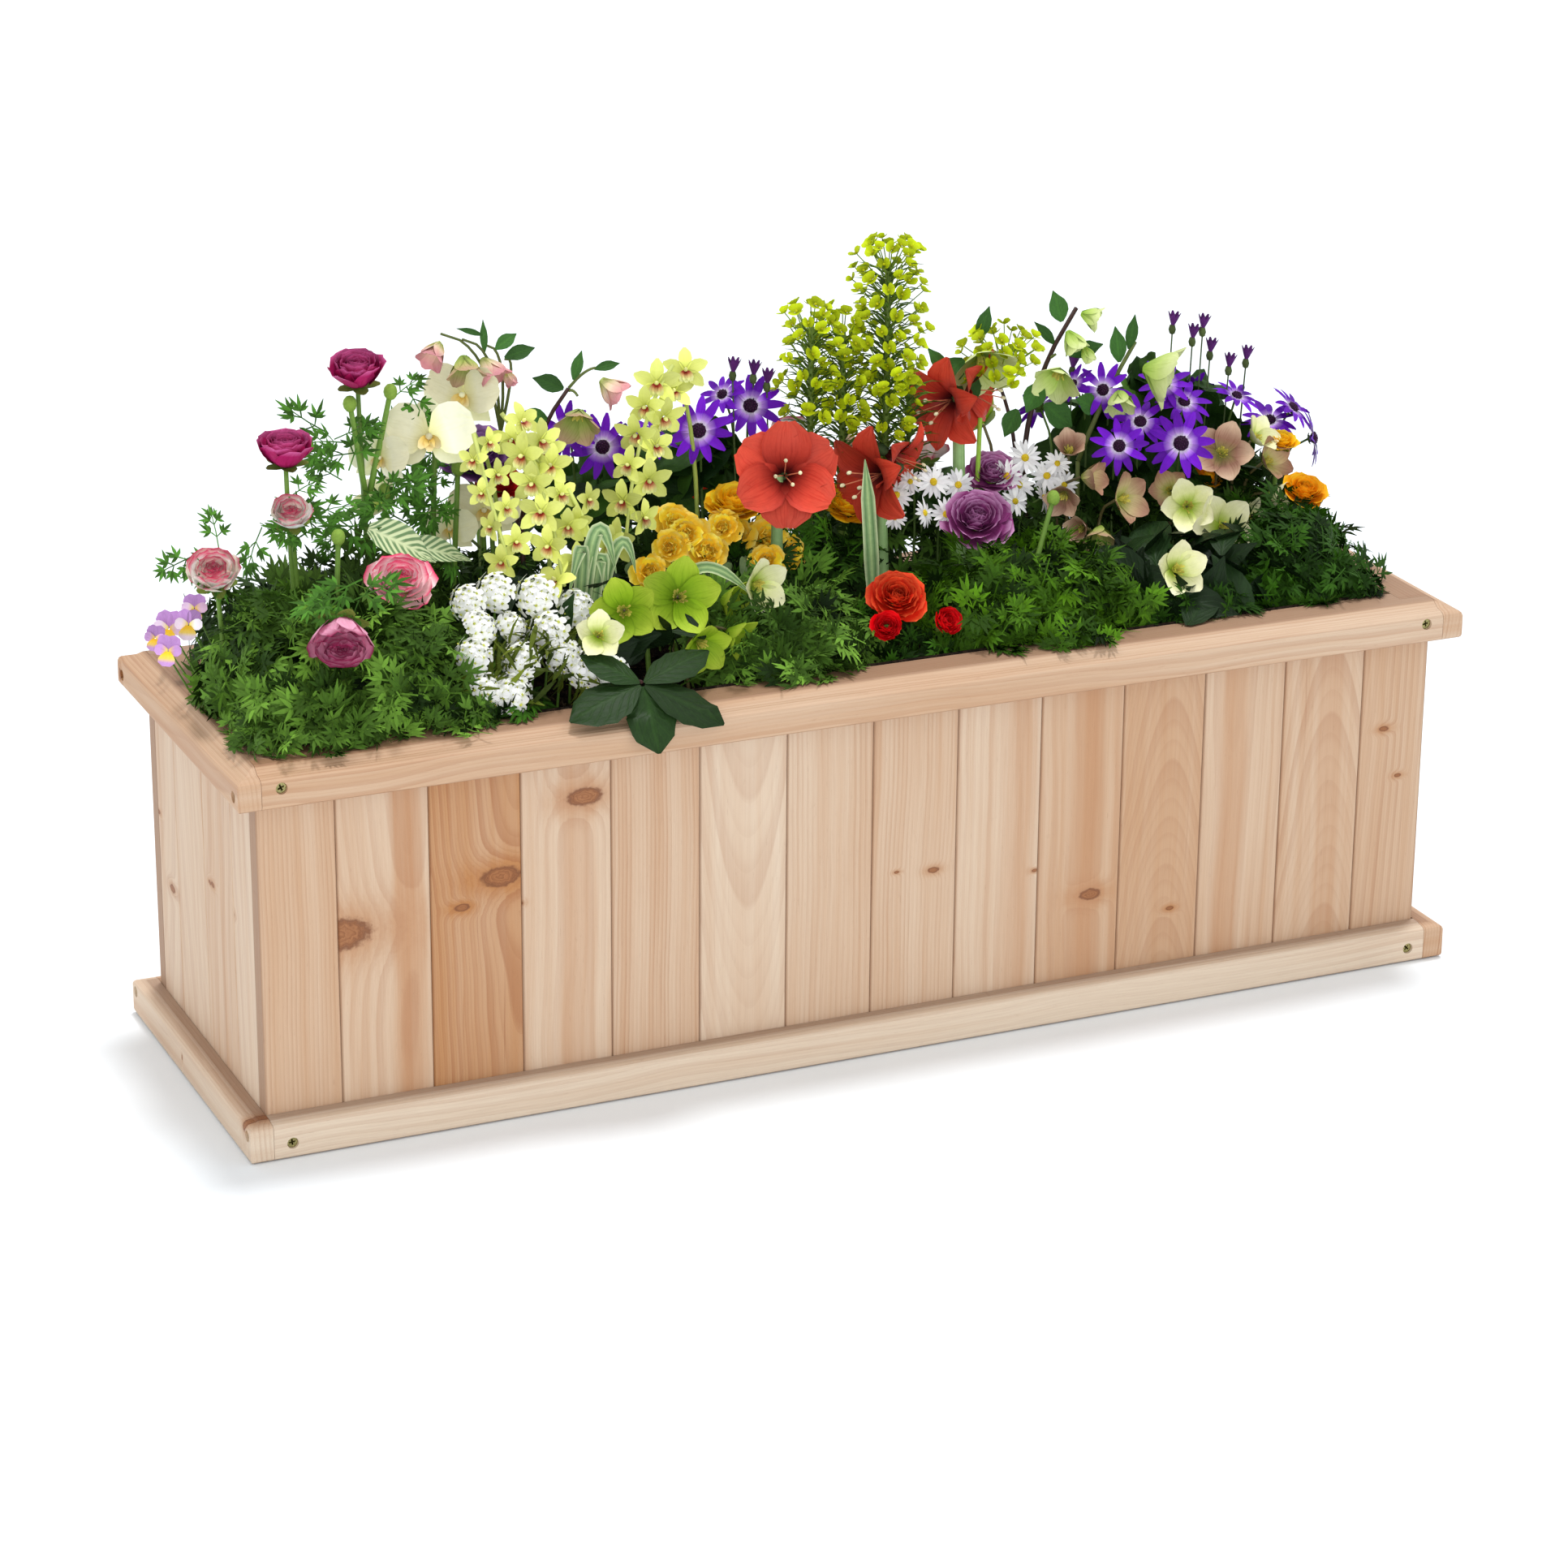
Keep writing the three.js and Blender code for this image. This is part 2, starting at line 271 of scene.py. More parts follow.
UPRIGHT_FRONT = wood_material("upright_board_front", X, Z, Y)
UPRIGHT_END = wood_material("upright_board_end", Y, Z, X)
RAIL_LONG = wood_material("long_rail_wood", Z, X, Y)
RAIL_END = wood_material("end_rail_wood", Z, Y, X)
FLOOR_BOARD = wood_material("floor_board_wood", Y, X, Z)
BEARER = wood_material("bearer_wood", X, Y, Z)
GRAIN = {  # the material for each kind of node, and its across axis
    "front_board": (UPRIGHT_FRONT, X), "back_board": (UPRIGHT_FRONT, X), "corner_post": (UPRIGHT_FRONT, X),
    "left_end_board": (UPRIGHT_END, Y), "right_end_board": (UPRIGHT_END, Y),
    "cap_rail_front": (RAIL_LONG, Z), "cap_rail_back": (RAIL_LONG, Z), "cap_rail": (RAIL_END, Z),
    "skirt_rail_front": (RAIL_LONG, Z), "skirt_rail_back": (RAIL_LONG, Z), "skirt_rail": (RAIL_END, Z),
    "bearer": (BEARER, X), "floor_board": (FLOOR_BOARD, Y),
}
NO_KNOT = (0, 9000, 0.1)
NAMED_BOARDS = {
    # seed, tone, contrast, then in mm the pith to the board's middle and the cut, the tilt, the ring spacing in mm,
    # pink, and up to two knots: across and along places, and radius, in mm
    "front_board_01": (1.3, 0.49, 0.24, -160, 60, 0.01, 3.0, 0.00),
    "front_board_02": (2.9, 0.39, 0.22, 14, 70, 0.01, 5.0, 0.95, (-430, 163.5, 16)),
    "front_board_03": (3.1, 0.86, 0.62, 30, 12, 0.02, 2.6, 0.10, (-303, 190, 10), (-334, 170, 3.8)),
    "front_board_04": (4.6, 0.36, 0.20, 2, 90, 0.00, 4.0, 0.60, (-236, 243.4, 9.0), (-289, 166, 2)),
    "front_board_05": (5.2, 0.46, 0.30, -190, 50, 0.01, 3.0, 0.55),
    "front_board_06": (6.7, 0.24, 0.20, 2, 14, 0.040, 3.4, 0.00),
    "front_board_07": (7.4, 0.38, 0.24, 120, 50, 0.01, 3.6, 0.30),
    "front_board_08": (8.8, 0.42, 0.26, -150, 60, 0.01, 3.2, 0.55, (52.5, 140, 3.0), (21, 143, 1.4)),
    "front_board_09": (9.5, 0.31, 0.24, 14, 80, 0.00, 3.4, 0.60, (140.7, 126, 1.6)),
    "front_board_10": (10.2, 0.54, 0.20, 2, 90, 0.00, 6.0, 0.90, (190.3, 98, 6.0)),
    "front_board_11": (11.9, 0.62, 0.30, 4, 18, -0.050, 2.4, 0.00, (262.3, 74.7, 2.2)),
    "front_board_12": (12.4, 0.47, 0.24, -12, 80, 0.01, 4.0, 0.80),
    "front_board_13": (13.6, 0.47, 0.26, 4, 24, -0.055, 2.8, 0.55),
    "front_board_14": (14.8, 0.5, 0.34, -60, 24, 0.02, 3.2, 0.10, (451.8, 200, 2.8), (467.3, 158, 2.0)),
    "left_end_board_01": (21.3, 0.26, 0.28, 60, 20, 0.02, 4.0, 0.40, (118.7, 179, 2.2), (89.3, 125.7, 4)),
    "left_end_board_02": (22.1, 0.3, 0.24, -80, 30, 0.03, 3.8, 0.45),
    "left_end_board_03": (23.7, 0.34, 0.26, 90, 26, 0.02, 3.4, 0.50, (-19.8, 169.8, 2.6), (-13, 169, 2.0)),
    "left_end_board_04": (24.4, 0.26, 0.22, -140, 30, 0.02, 4.2, 0.30, (-69.8, 165.9, 2.6)),
    "cap_rail_front": (31.5, 0.52, 0.30, 40, 24, 0.004, 2.8, 0.40),
    "cap_rail_left": (32.2, 0.60, 0.42, 30, 14, 0.010, 3.4, 0.00, (285, 147, 3)),
    "cap_rail_right": (33.8, 0.46, 0.36, 60, 12, 0.006, 3.4, 0.20),
    "skirt_rail_front": (34.1, 0.05, 0.20, 60, 30, 0.003, 3.2, 0.10),
    "skirt_rail_left": (35.6, 0.12, 0.24, 30, 16, 0.004, 3.8, 0.40, (29, -137.9, 5), (15, 20, 1.5)),
    "skirt_rail_right": (36.9, 0.55, 0.60, 34, 10, 0.01, 2.8, 0.10),
}
LOOKS_IN_MM = ("pith", "cut", "spacing", "middle", "half")
# painted light: the front cap rail is painted paler towards its right end, where more light falls on it
PAINTED_LIGHT_TO_THE_RIGHT = {"cap_rail_front": 0.26}


def dress_boards():
    """Every wooden node gets its grain material and a look of its own, named for the boards that show most."""
    draw = np.random.default_rng(305)
    for name in sorted(nodes):
        kind = max((k for k in GRAIN if name.startswith(k)), key=len, default=None)
        if kind is None:
            continue
        finish, across = GRAIN[kind]
        low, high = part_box(name)
        middle = (low[across] + high[across]) / 2
        chance = draw.uniform(size=8)
        look = NAMED_BOARDS.get(name, (
            40 + 60 * chance[0], 0.36 + 0.30 * chance[1], 0.2 + 0.2 * chance[2], (chance[3] - 0.5) * 260,
            12 + 36 * chance[4], (chance[5] - 0.5) * 0.10, 3.2 + 3 * chance[6], 0.5 * chance[7]))
        knots = (*look[8:], NO_KNOT, NO_KNOT)[:2]
        look = (*look[:8], middle / MM, (high[across] - low[across]) / 2 / MM, *knots)
        node = nodes[name]
        for key, value in zip(BOARD_LOOKS, look):
            if key.startswith("knot"):
                node[key] = [float(part) * MM for part in value]
            else:
                node[key] = float(value * (MM if key in LOOKS_IN_MM else 1) + (middle if key == "pith" else 0))
        node["fade"] = PAINTED_LIGHT_TO_THE_RIGHT.get(name, 0.0)
        for slot in node.material_slots:
            slot.material = finish


dress_boards()


# ---------------------------------------------------------------- surfaces, in millimetres

DRAW = np.random.default_rng(12)
GOLDEN = 2.399963
RAIL_INNER, RAIL_OUTER = (463, 108), (511, 156)  # half the length and depth of the cap rail's outline
RAIL_FOOT, RAIL_TOP, MOUTH, WALL = 240, 306.5, 300, 462


def unit(vector):
    vector = np.array(vector, float)
    return vector / np.linalg.norm(vector, axis=-1, keepdims=True)


class Bunch:
    """The grids of one named piece, gathered as whole arrays: points, tints and places on the blade."""

    def __init__(self, name, finish, body="planting", slot="foliage"):
        self.name, self.finish, self.body, self.slot = name, finish, body, slot
        self.points, self.tints, self.blades, self.quads, self.total = [], [], [], [], 0

    def add(self, grid, tint, ring=False, shade=0.12):
        """Takes grids of (copies, rows, columns, 3). A ring joins its last column to its first."""
        copies, rows, columns, _ = grid.shape
        index = self.total + np.arange(copies * rows * columns).reshape(copies, rows, columns)
        after = np.roll(index, -1, 2) if ring else index[:, :, 1:]
        before = index if ring else index[:, :, :-1]
        self.quads.append(np.stack([before[:, :-1], after[:, :-1], after[:, 1:], before[:, 1:]], -1).reshape(-1, 4))
        self.points.append(grid.reshape(-1, 3))
        chance = DRAW.uniform(size=(copies, 1, 1, 1))
        full = np.broadcast_to(np.asarray(tint, float), grid.shape) * (1 + shade * (chance * 2 - 1))
        self.tints.append(full.reshape(-1, 3))
        blade = np.zeros(grid.shape)
        blade[..., 0] = np.linspace(-1, 1, columns)
        blade[..., 1] = np.linspace(0, 1, rows)[:, None]
        blade[..., 2] = chance[..., 0]
        self.blades.append(blade.reshape(-1, 3))
        self.total += copies * rows * columns

    def put(self, flower, grid, tint, spin=0.0, **how):
        """Adds grids made round +Z at unit size. A flower is (place, size, the way that it faces)."""
        place, size, facing = flower
        self.add(at(grid * size, place, facing, spin), tint, **how)

    def build(self):
        """One smooth mesh at the origin, with the tint and blade attributes, riding on its body."""
        points, quads = np.concatenate(self.points), np.concatenate(self.quads)
        if self.body == "planting":
            points = clear_of_rails(points)
        mesh = bpy.data.meshes.new(self.name)
        mesh.vertices.add(len(points))
        mesh.vertices.foreach_set("co", (points * MM).astype(np.float32).ravel())
        mesh.loops.add(quads.size)
        mesh.loops.foreach_set("vertex_index", quads.astype(np.int32).ravel())
        mesh.polygons.add(len(quads))
        mesh.polygons.foreach_set("loop_start", np.arange(0, quads.size, 4, dtype=np.int32))
        mesh.polygons.foreach_set("use_smooth", np.ones(len(quads), bool))
        shades = np.ones((len(points), 4), np.float32)
        shades[:, :3] = linear(np.concatenate(self.tints))
        mesh.attributes.new("tint", "FLOAT_COLOR", "POINT").data.foreach_set("color", shades.ravel())
        blade = np.concatenate(self.blades).astype(np.float32)
        mesh.attributes.new("blade", "FLOAT_VECTOR", "POINT").data.foreach_set("vector", blade.ravel())
        mesh.materials.append(self.finish)
        mesh.update(calc_edges=True)
        mesh.validate()
        piece = bpy.data.objects.new(self.name, mesh)
        bpy.context.scene.collection.objects.link(piece)
        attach(piece, self.body)
        return piece


def clear_of_rails(points):
    """Leaves that reach over the cap rail lie on its top, and leaves below the mouth stay inside the walls."""
    x, y, z = points.T
    outside = (np.abs(x) > RAIL_INNER[0]) | (np.abs(y) > RAIL_INNER[1])
    on_rail = outside & (np.abs(x) < RAIL_OUTER[0]) & (np.abs(y) < RAIL_OUTER[1]) & (z > RAIL_FOOT)
    sunk = ~on_rail & ~outside & (z < MOUTH)
    return np.stack([np.where(sunk, np.clip(x, -WALL, WALL), x), y,
                     np.where(on_rail, np.maximum(z, RAIL_TOP), z)], -1)


def petals(turn, rise, bend, length, width, shape, across=3, cup=0.0, start=0.0, lift=0.0, ruffle=0.0, base=None):
    """Petals round the +Z axis, as grids of rows along and columns across.

    A petal's centreline leaves the axis at start, in the direction turn, and climbs at the angle rise plus bend
    times the share of its length. It is width times shape wide there. Its sides stand off the centreline by cup
    times the square of their distance from it, and its far edge waves by ruffle.
    """
    parts = np.broadcast_arrays(*[np.atleast_1d(np.asarray(v, float)) for v in
                                  (turn, rise, bend, length, width, cup, start, lift, ruffle)])
    turn, rise, bend, length, width, cup, start, lift, ruffle = [v[:, None, None] for v in parts]
    shape = np.asarray(shape, float)[None, :, None]
    rows = shape.shape[1]
    along, side = np.linspace(0, 1, rows)[None, :, None], np.linspace(-1, 1, across)[None, None, :]
    angle = rise + bend * along
    middle = (angle[:, 1:] + angle[:, :-1]) / 2
    nought = np.zeros_like(middle[:, :1])
    outward, upward = [np.concatenate([nought, np.cumsum(part(middle), 1)], 1) * length / (rows - 1)
                       for part in (np.cos, np.sin)]
    half = width / 2 * shape
    stand = cup * half * side ** 2 + ruffle * width * along ** 2 * np.sin(side * 7.0 + turn * 5.0)
    reach, height = start + outward - np.sin(angle) * stand, lift + upward + np.cos(angle) * stand
    offset = half * side
    grid = np.stack([reach * np.cos(turn) - offset * np.sin(turn),
                     reach * np.sin(turn) + offset * np.cos(turn), height + 0 * offset], -1)
    return grid if base is None else grid + np.asarray(base)[:, None, None, :]


def facing_frame(facing, spin=0.0):
    """Rows are a flower's own axes: the third is facing, and spin turns the other two about it."""
    axis = unit(facing)
    level = np.cross((0.0, 0.0, 1.0), axis)
    level = unit(level) if np.linalg.norm(level) > 0.01 else np.array((1.0, 0.0, 0.0))
    upper = np.cross(axis, level)
    return np.stack([np.cos(spin) * level + np.sin(spin) * upper,
                     np.cos(spin) * upper - np.sin(spin) * level, axis])


def leaf_frame(foot, tip, top):
    """The length from foot to tip, and the axes of a leaf that runs along it, its upper face towards top."""
    way = np.array(tip, float) - np.array(foot, float)
    ahead = unit(way)
    side = unit(np.cross(top, ahead))
    return np.linalg.norm(way), np.stack([ahead, side, np.cross(ahead, side)])


def at(grid, place, facing, spin=0.0):
    return grid @ facing_frame(facing, spin) + np.asarray(place, float)


def copies(grid, places, frames, sizes):
    """Every place gets a copy of the grids, turned by its frame and scaled by its size."""
    turned = np.einsum("mrci,kij->kmrcj", grid, frames) * sizes[:, None, None, None, None]
    return (turned + places[:, None, None, None, :]).reshape(-1, *grid.shape[1:])


def dotted(bead, places):
    """A bead at each place, unturned."""
    count = len(places)
    return copies(bead, places, np.broadcast_to(np.eye(3), (count, 3, 3)), np.ones(count))


def gradient(rows, *stops):
    """Tints along a petal: stops are (share of its length, tint)."""
    shares, tints = [share for share, _ in stops], np.array([tint for _, tint in stops], float)
    place = np.linspace(0, 1, rows)
    return np.stack([np.interp(place, shares, tints[:, part]) for part in range(3)], -1)[None, :, None, :]


def curve(start, middle, end, share):
    """Points on the curve from start to end that middle draws towards it."""
    return (1 - share) ** 2 * start + 2 * share * (1 - share) * middle + share ** 2 * end


def tubes(start, middle, end, radius, rows=9, sides=6, taper=0.75):
    """Stems along curves, closed at both ends: rings on planes square to the curve."""
    start, middle, end = [np.atleast_2d(np.asarray(v, float))[:, None, :] for v in (start, middle, end)]
    share = np.linspace(0, 1, rows)[None, :, None]
    path = curve(start, middle, end, share)
    run = np.gradient(path, axis=1)
    run /= np.linalg.norm(run, axis=2, keepdims=True) + 1e-9
    level = np.cross(run, np.broadcast_to((0.21, 0.97, 0.11), run.shape))
    level /= np.linalg.norm(level, axis=2, keepdims=True) + 1e-9
    other = np.cross(run, level)
    turn = np.arange(sides)[None, None, :, None] * 2 * np.pi / sides
    reach = np.broadcast_to(np.atleast_1d(radius), (len(path),))[:, None] * (1 - (1 - taper) * share[..., 0])
    reach = np.concatenate([reach[:, :1] * 0, reach[:, 1:-1], reach[:, -1:] * 0], 1)
    path = np.concatenate([path[:, :1], path[:, :1] * 0.97 + path[:, 1:2] * 0.03, path[:, 2:-2],
                           path[:, -2:-1] * 0.03 + path[:, -1:] * 0.97, path[:, -1:]], 1)
    around = level[:, :, None] * np.cos(turn) - other[:, :, None] * np.sin(turn)
    return path[:, :, None] + reach[:, :, None, None] * around


def beads(radius, squat=1.0, rows=5, sides=8, lift=0.0):
    """One closed bead: a half circle turned about +Z."""
    fall, turn = np.linspace(-np.pi / 2, np.pi / 2, rows)[:, None], np.arange(sides)[None, :] * 2 * np.pi / sides
    return (radius * np.stack([np.cos(fall) * np.cos(turn), np.cos(fall) * np.sin(turn),
                               squat * np.sin(fall) + 0 * turn], -1) + (0, 0, lift))[None]


# ---------------------------------------------------------------- plant skins

def skin_figure():
    """Petal and leaf skin: fine veins along the blade, a pale midrib with side veins, and mottling."""
    tree, field, close = group(
        "skin_figure", {"Tint": "Color", "Blade": "Vector", "Vein": "Float", "Midrib": "Float", "Mottle": "Float"},
        {"Colour": "Color", "Height": "Float"})
    side, along, chance = split(tree, field["Blade"])
    vein = noise(tree, joined(tree, side * 11.0, along * 1.6, chance * 37.0), 1.0, 3.0, 0.6)
    wide = side.maths("ABSOLUTE")
    branch = ((along * 7.0 - wide * 2.6).fraction() - 0.5) * 2.0
    branch = (branch * 3.4).falloff() * (1.0 - wide.ramp(0.7, 1.0))
    ribs = ((side * 9.0).falloff() + branch * 0.55).clamped() * field["Midrib"]
    mottle = noise(tree, object_place(tree), 210.0, 3.0, 0.6)
    tint = field["Tint"]
    for share, over, blend in ((vein.ramp(0.45, 0.75) * field["Vein"], tint, "MULTIPLY"),
                               (ribs * 0.5, (0.75, 0.80, 0.55, 1.0), "SOFT_LIGHT"),
                               ((mottle - 0.35) * field["Mottle"], (0.15, 0.17, 0.10, 1.0), "MULTIPLY")):
        tint = mixed(tree, share.clamped(), tint, over, blend)
    close(Colour=tint, Height=vein * 0.5 + mottle * 0.3 - ribs * 0.8)
    return tree


SKIN_FIGURE = skin_figure()


def skin(name, vein, midrib, mottle, relief, roughness, specular):
    finish, tree, shader = material(name, Roughness=roughness, Specular_IOR_Level=specular)
    figure = made(tree, "Group", {
        "Tint": attribute(tree, "tint"), "Blade": attribute(tree, "blade", "Vector"), "Vein": vein,
        "Midrib": midrib, "Mottle": mottle}, node_tree=SKIN_FIGURE)
    finished(tree, shader, out(figure, "Colour"), out(figure, "Height"), relief, 0.6)
    return finish


PETAL = skin("petal_skin", 0.45, 0.0, 0.3, 0.0004, 0.6, 0.15)
WAX_PETAL = skin("waxy_petal_skin", 0.3, 0.0, 0.2, 0.0003, 0.45, 0.25)
SATIN_PETAL = skin("satin_petal_skin", 0.5, 0.0, 0.3, 0.0006, 0.5, 0.2)
LEAF = skin("soft_leaf_skin", 0.2, 0.8, 0.5, 0.0005, 0.6, 0.12)
GLOSS_LEAF = skin("leathery_leaf_skin", 0.25, 1.0, 0.7, 0.0008, 0.48, 0.16)
STEM = skin("stem_skin", 0.4, 0.0, 0.5, 0.0004, 0.5, 0.25)

# How wide a petal or leaf is along its length, as shares of its width.
ROUND = (0.3, 0.72, 0.98, 0.98, 0.45)
OVAL = (0.16, 0.62, 0.94, 1.0, 0.84, 0.40, 0.04)
TONGUE = (0.45, 0.8, 1.0, 0.9, 0.35)
SPEAR = (0.35, 1.0, 0.75, 0.05)
SAW = (0.10, 0.42, 0.72, 0.90, 0.98, 1.0, 0.92, 0.74, 0.44, 0.06)

TO_THE_FRONT = (-0.38, -0.82, 0.42)
UP = (0, 0, 1)
FOOT = 285  # most stems start here, inside the leaves
ALL_STEMS = []


def stem(end, foot=None, bow=(0, 0, 0), radius=1.5, tint=(92, 128, 48), facing=None):
    """Notes a stem from the soil, or from foot, to end. It bows by that much, and meets the flower from behind."""
    end = np.array(end, float)
    foot = np.array(foot if foot is not None else (end[0] * 0.985, end[1] * 0.8, 280), float)
    middle = (foot + end) / 2
    if facing is not None:
        middle = end - unit(facing) * min(40.0, 0.4 * np.linalg.norm(end - foot))
    ALL_STEMS.append((foot, middle + np.array(bow, float), end, radius, tint))


def stem_behind(flower, gap, radius, tint):
    place, size, facing = flower
    stem(np.array(place) - unit(facing) * size * gap, radius=radius, tint=tint, facing=facing)


# ---------------------------------------------------------------- flowers, at unit size

FLOWER_GREEN = Bunch("flower_calyces", LEAF)


def ranunculus(bunch, flower, tints, count=46, loose=1.0, stalk=True, curl=1.15, ruffle=0.03, hollow=0.0):
    """A many-layered bowl: petals on the golden angle, upright and short inside, wide and spread outside.

    Hollow is the share of the inner petals that is left out, which opens the middle.
    """
    share = hollow + (1 - hollow) * (np.arange(count) + 0.5) / count
    inner, outer, edge = tints
    turn = np.arange(count) * GOLDEN + DRAW.normal(size=count) * 0.12
    rise = 1.62 - 1.28 * share ** 1.3 * loose + DRAW.normal(size=count) * 0.07
    grid = petals(turn, rise, 0.75 - curl * share, 0.16 + 0.24 * share, 0.22 + 0.36 * share,
                  (0.5, 0.8, 1.0, 0.92, 0.5), 5, 0.55 - 0.25 * share, 0.15 * share, -0.02 - 0.10 * share ** 2, ruffle)
    along = gradient(5, (0, inner), (0.25, outer), (0.76, outer), (1, edge))
    depth = (0.62 + 0.38 * share ** 0.6)[:, None, None, None]
    tint = np.asarray(inner, float) * (1 - depth) + along * depth
    bunch.put(flower, grid, tint, DRAW.uniform(0, 6), shade=0.10)
    FLOWER_GREEN.put(flower, petals(np.arange(5) * 1.257, -0.15, 0.5, 0.3, 0.2, TONGUE, 3, 0.3, 0, -0.15),
                     (118, 138, 62))
    if stalk:
        stem_behind(flower, 0.13, 2.3, (112, 146, 62))


def daisy(bunch, discs, flower, tints, rays=12, disc=(40, 14, 40), wide=0.145):
    """A whorl of rays round a domed disc of small beads."""
    inner, outer = tints
    turn = np.arange(rays) * 2 * np.pi / rays + DRAW.normal(size=rays) * 0.05
    rise = 0.14 + DRAW.normal(size=rays) * 0.16
    grid = petals(turn, rise, -0.35, 0.44 * DRAW.uniform(0.9, 1.06, rays), wide,
                  (0.5, 0.8, 1.0, 0.95, 0.72, 0.25), 3, 0.3, 0.09)
    bunch.put(flower, grid, gradient(6, (0, inner), (0.08, inner), (0.32, outer), (1, outer)), DRAW.uniform(0, 6),
              shade=0.14)
    discs.put(flower, beads(0.115, 0.55, 5, 10, 0.02), disc, ring=True)
    spiral = np.arange(26)
    reach = 0.11 * np.sqrt((spiral + 0.5) / 26)
    florets = np.stack([reach * np.cos(spiral * GOLDEN), reach * np.sin(spiral * GOLDEN),
                        0.085 - 3.2 * reach ** 2], -1)
    discs.put(flower, dotted(beads(0.014, 1.4, 3, 5), florets), np.array(disc) * 1.5 + 14, ring=True)
    FLOWER_GREEN.put(flower, petals(np.arange(8) * 0.785, -0.5, 1.5, 0.13, 0.08, TONGUE, 3, 0.2, 0, -0.08),
                     (74, 96, 44))
    stem_behind(flower, 0.08, 1.2, (78, 104, 44))


def hellebore(bunch, flower, tints, openness=0.35, stalk=True):
    """Five broad overlapping sepals round a boss of stamens. Openness is the angle that they stand up at."""
    centre, middle, edge = tints
    turn = np.arange(5) * 2 * np.pi / 5 + DRAW.normal(size=5) * 0.04
    grid = petals(turn, openness + 0.20, 0.35 - openness * 0.5, 0.52, 0.40,
                  (0.30, 0.56, 0.80, 0.96, 1.0, 0.92, 0.68, 0.18), 5, 0.32, 0.02, 0, 0.03)
    grid[::2, ..., 2] += 0.02
    bunch.put(flower, grid, gradient(8, (0, centre), (0.4, middle), (0.85, edge), (1, edge)), DRAW.uniform(0, 6),
              shade=0.08)
    count = 22
    threads = petals(np.arange(count) * GOLDEN, 1.0 + 0.4 * DRAW.uniform(size=count), 0.1,
                     0.14 + 0.08 * DRAW.uniform(size=count), 0.028, (0.35, 0.3, 1.0, 1.0), 3, 0.8, 0.02)
    bunch.put(flower, threads, gradient(4, (0, (190, 196, 92)), (1, (226, 214, 108))))
    if stalk:
        stem_behind(flower, 0.02, 1.6, (96, 88, 52))


def moth_orchid(bunch, flower):
    """Two broad round petals, three narrower sepals behind them, and a small lobed lip."""
    bunch.put(flower, petals((1.57, 3.75, 5.67), 0.05, -0.15, 0.48, 0.34, OVAL, 5, 0.2, 0.03),
              gradient(7, (0, (236, 230, 156)), (0.35, (250, 247, 210)), (1, (250, 246, 206))))
    bunch.put(flower, petals((0.30, 2.84), 0.18, -0.20, 0.52, 0.60, (0.22, 0.80, 1.0, 1.0, 0.88, 0.35), 5, 0.18,
                             0.02, 0.03, 0.02),
              gradient(6, (0, (238, 232, 160)), (0.4, (253, 249, 214)), (1, (252, 247, 208))))
    bunch.put(flower, petals((4.0, 4.71, 5.4), 0.9, -0.9, 0.20, 0.13, TONGUE, 3, 0.5, 0.01, 0.0004),
              gradient(5, (0, (220, 178, 70)), (0.5, (236, 206, 120)), (1, (240, 226, 178))))
    bunch.put(flower, beads(0.045, 1.3, 5, 7, 0.05), (246, 238, 196), ring=True)


def boat_orchid(bunch, flower):
    """Five pointed tepals round a hooded column, with a dark red throat on a short lip."""
    bunch.put(flower, petals((1.57, 0.35, 2.79, 5.5, 3.93), 0.30, -0.40, 0.54, 0.33, (0.4, 0.85, 1.0, 0.82, 0.18),
                             3, 0.25, 0.03),
              gradient(5, (0, (196, 204, 88)), (0.4, (222, 228, 118)), (1, (228, 234, 132))))
    bunch.put(flower, petals((4.30, 4.71, 5.12), 0.8, -1.1, 0.32, 0.20, TONGUE, 3, 0.4, 0.02),
              gradient(5, (0, (150, 40, 34)), (0.4, (168, 62, 40)), (0.55, (226, 226, 140)), (1, (232, 236, 160))))
    bunch.put(flower, beads(0.055, 1.6, 5, 7, 0.10), (234, 234, 150), ring=True)


def viola(bunch, flower, upper, lower):
    """Two upper petals, two side ones and a broad lower one, with a yellow eye."""
    grid = petals((1.05, 2.09, 0.1, 3.04, 4.71), 0.2, -0.3, (0.5, 0.5, 0.42, 0.42, 0.46),
                  (0.46, 0.46, 0.36, 0.36, 0.56), ROUND, 5, 0.1, 0.02, (0.0, 0.0, 0.03, 0.03, 0.05), 0.03)
    tint = np.concatenate([np.repeat(gradient(5, (0, upper), (1, upper)), 2, 0),
                           np.repeat(gradient(5, (0, (250, 214, 70)), (0.35, lower), (1, lower)), 2, 0),
                           gradient(5, (0, (248, 190, 40)), (0.45, (250, 214, 80)), (0.7, lower), (1, lower))])
    bunch.put(flower, grid, tint)
    place, _, facing = flower
    stem(np.array(place) - np.array(facing) * 2.0, foot=(place[0] * 0.93, place[1], 290), radius=0.9)


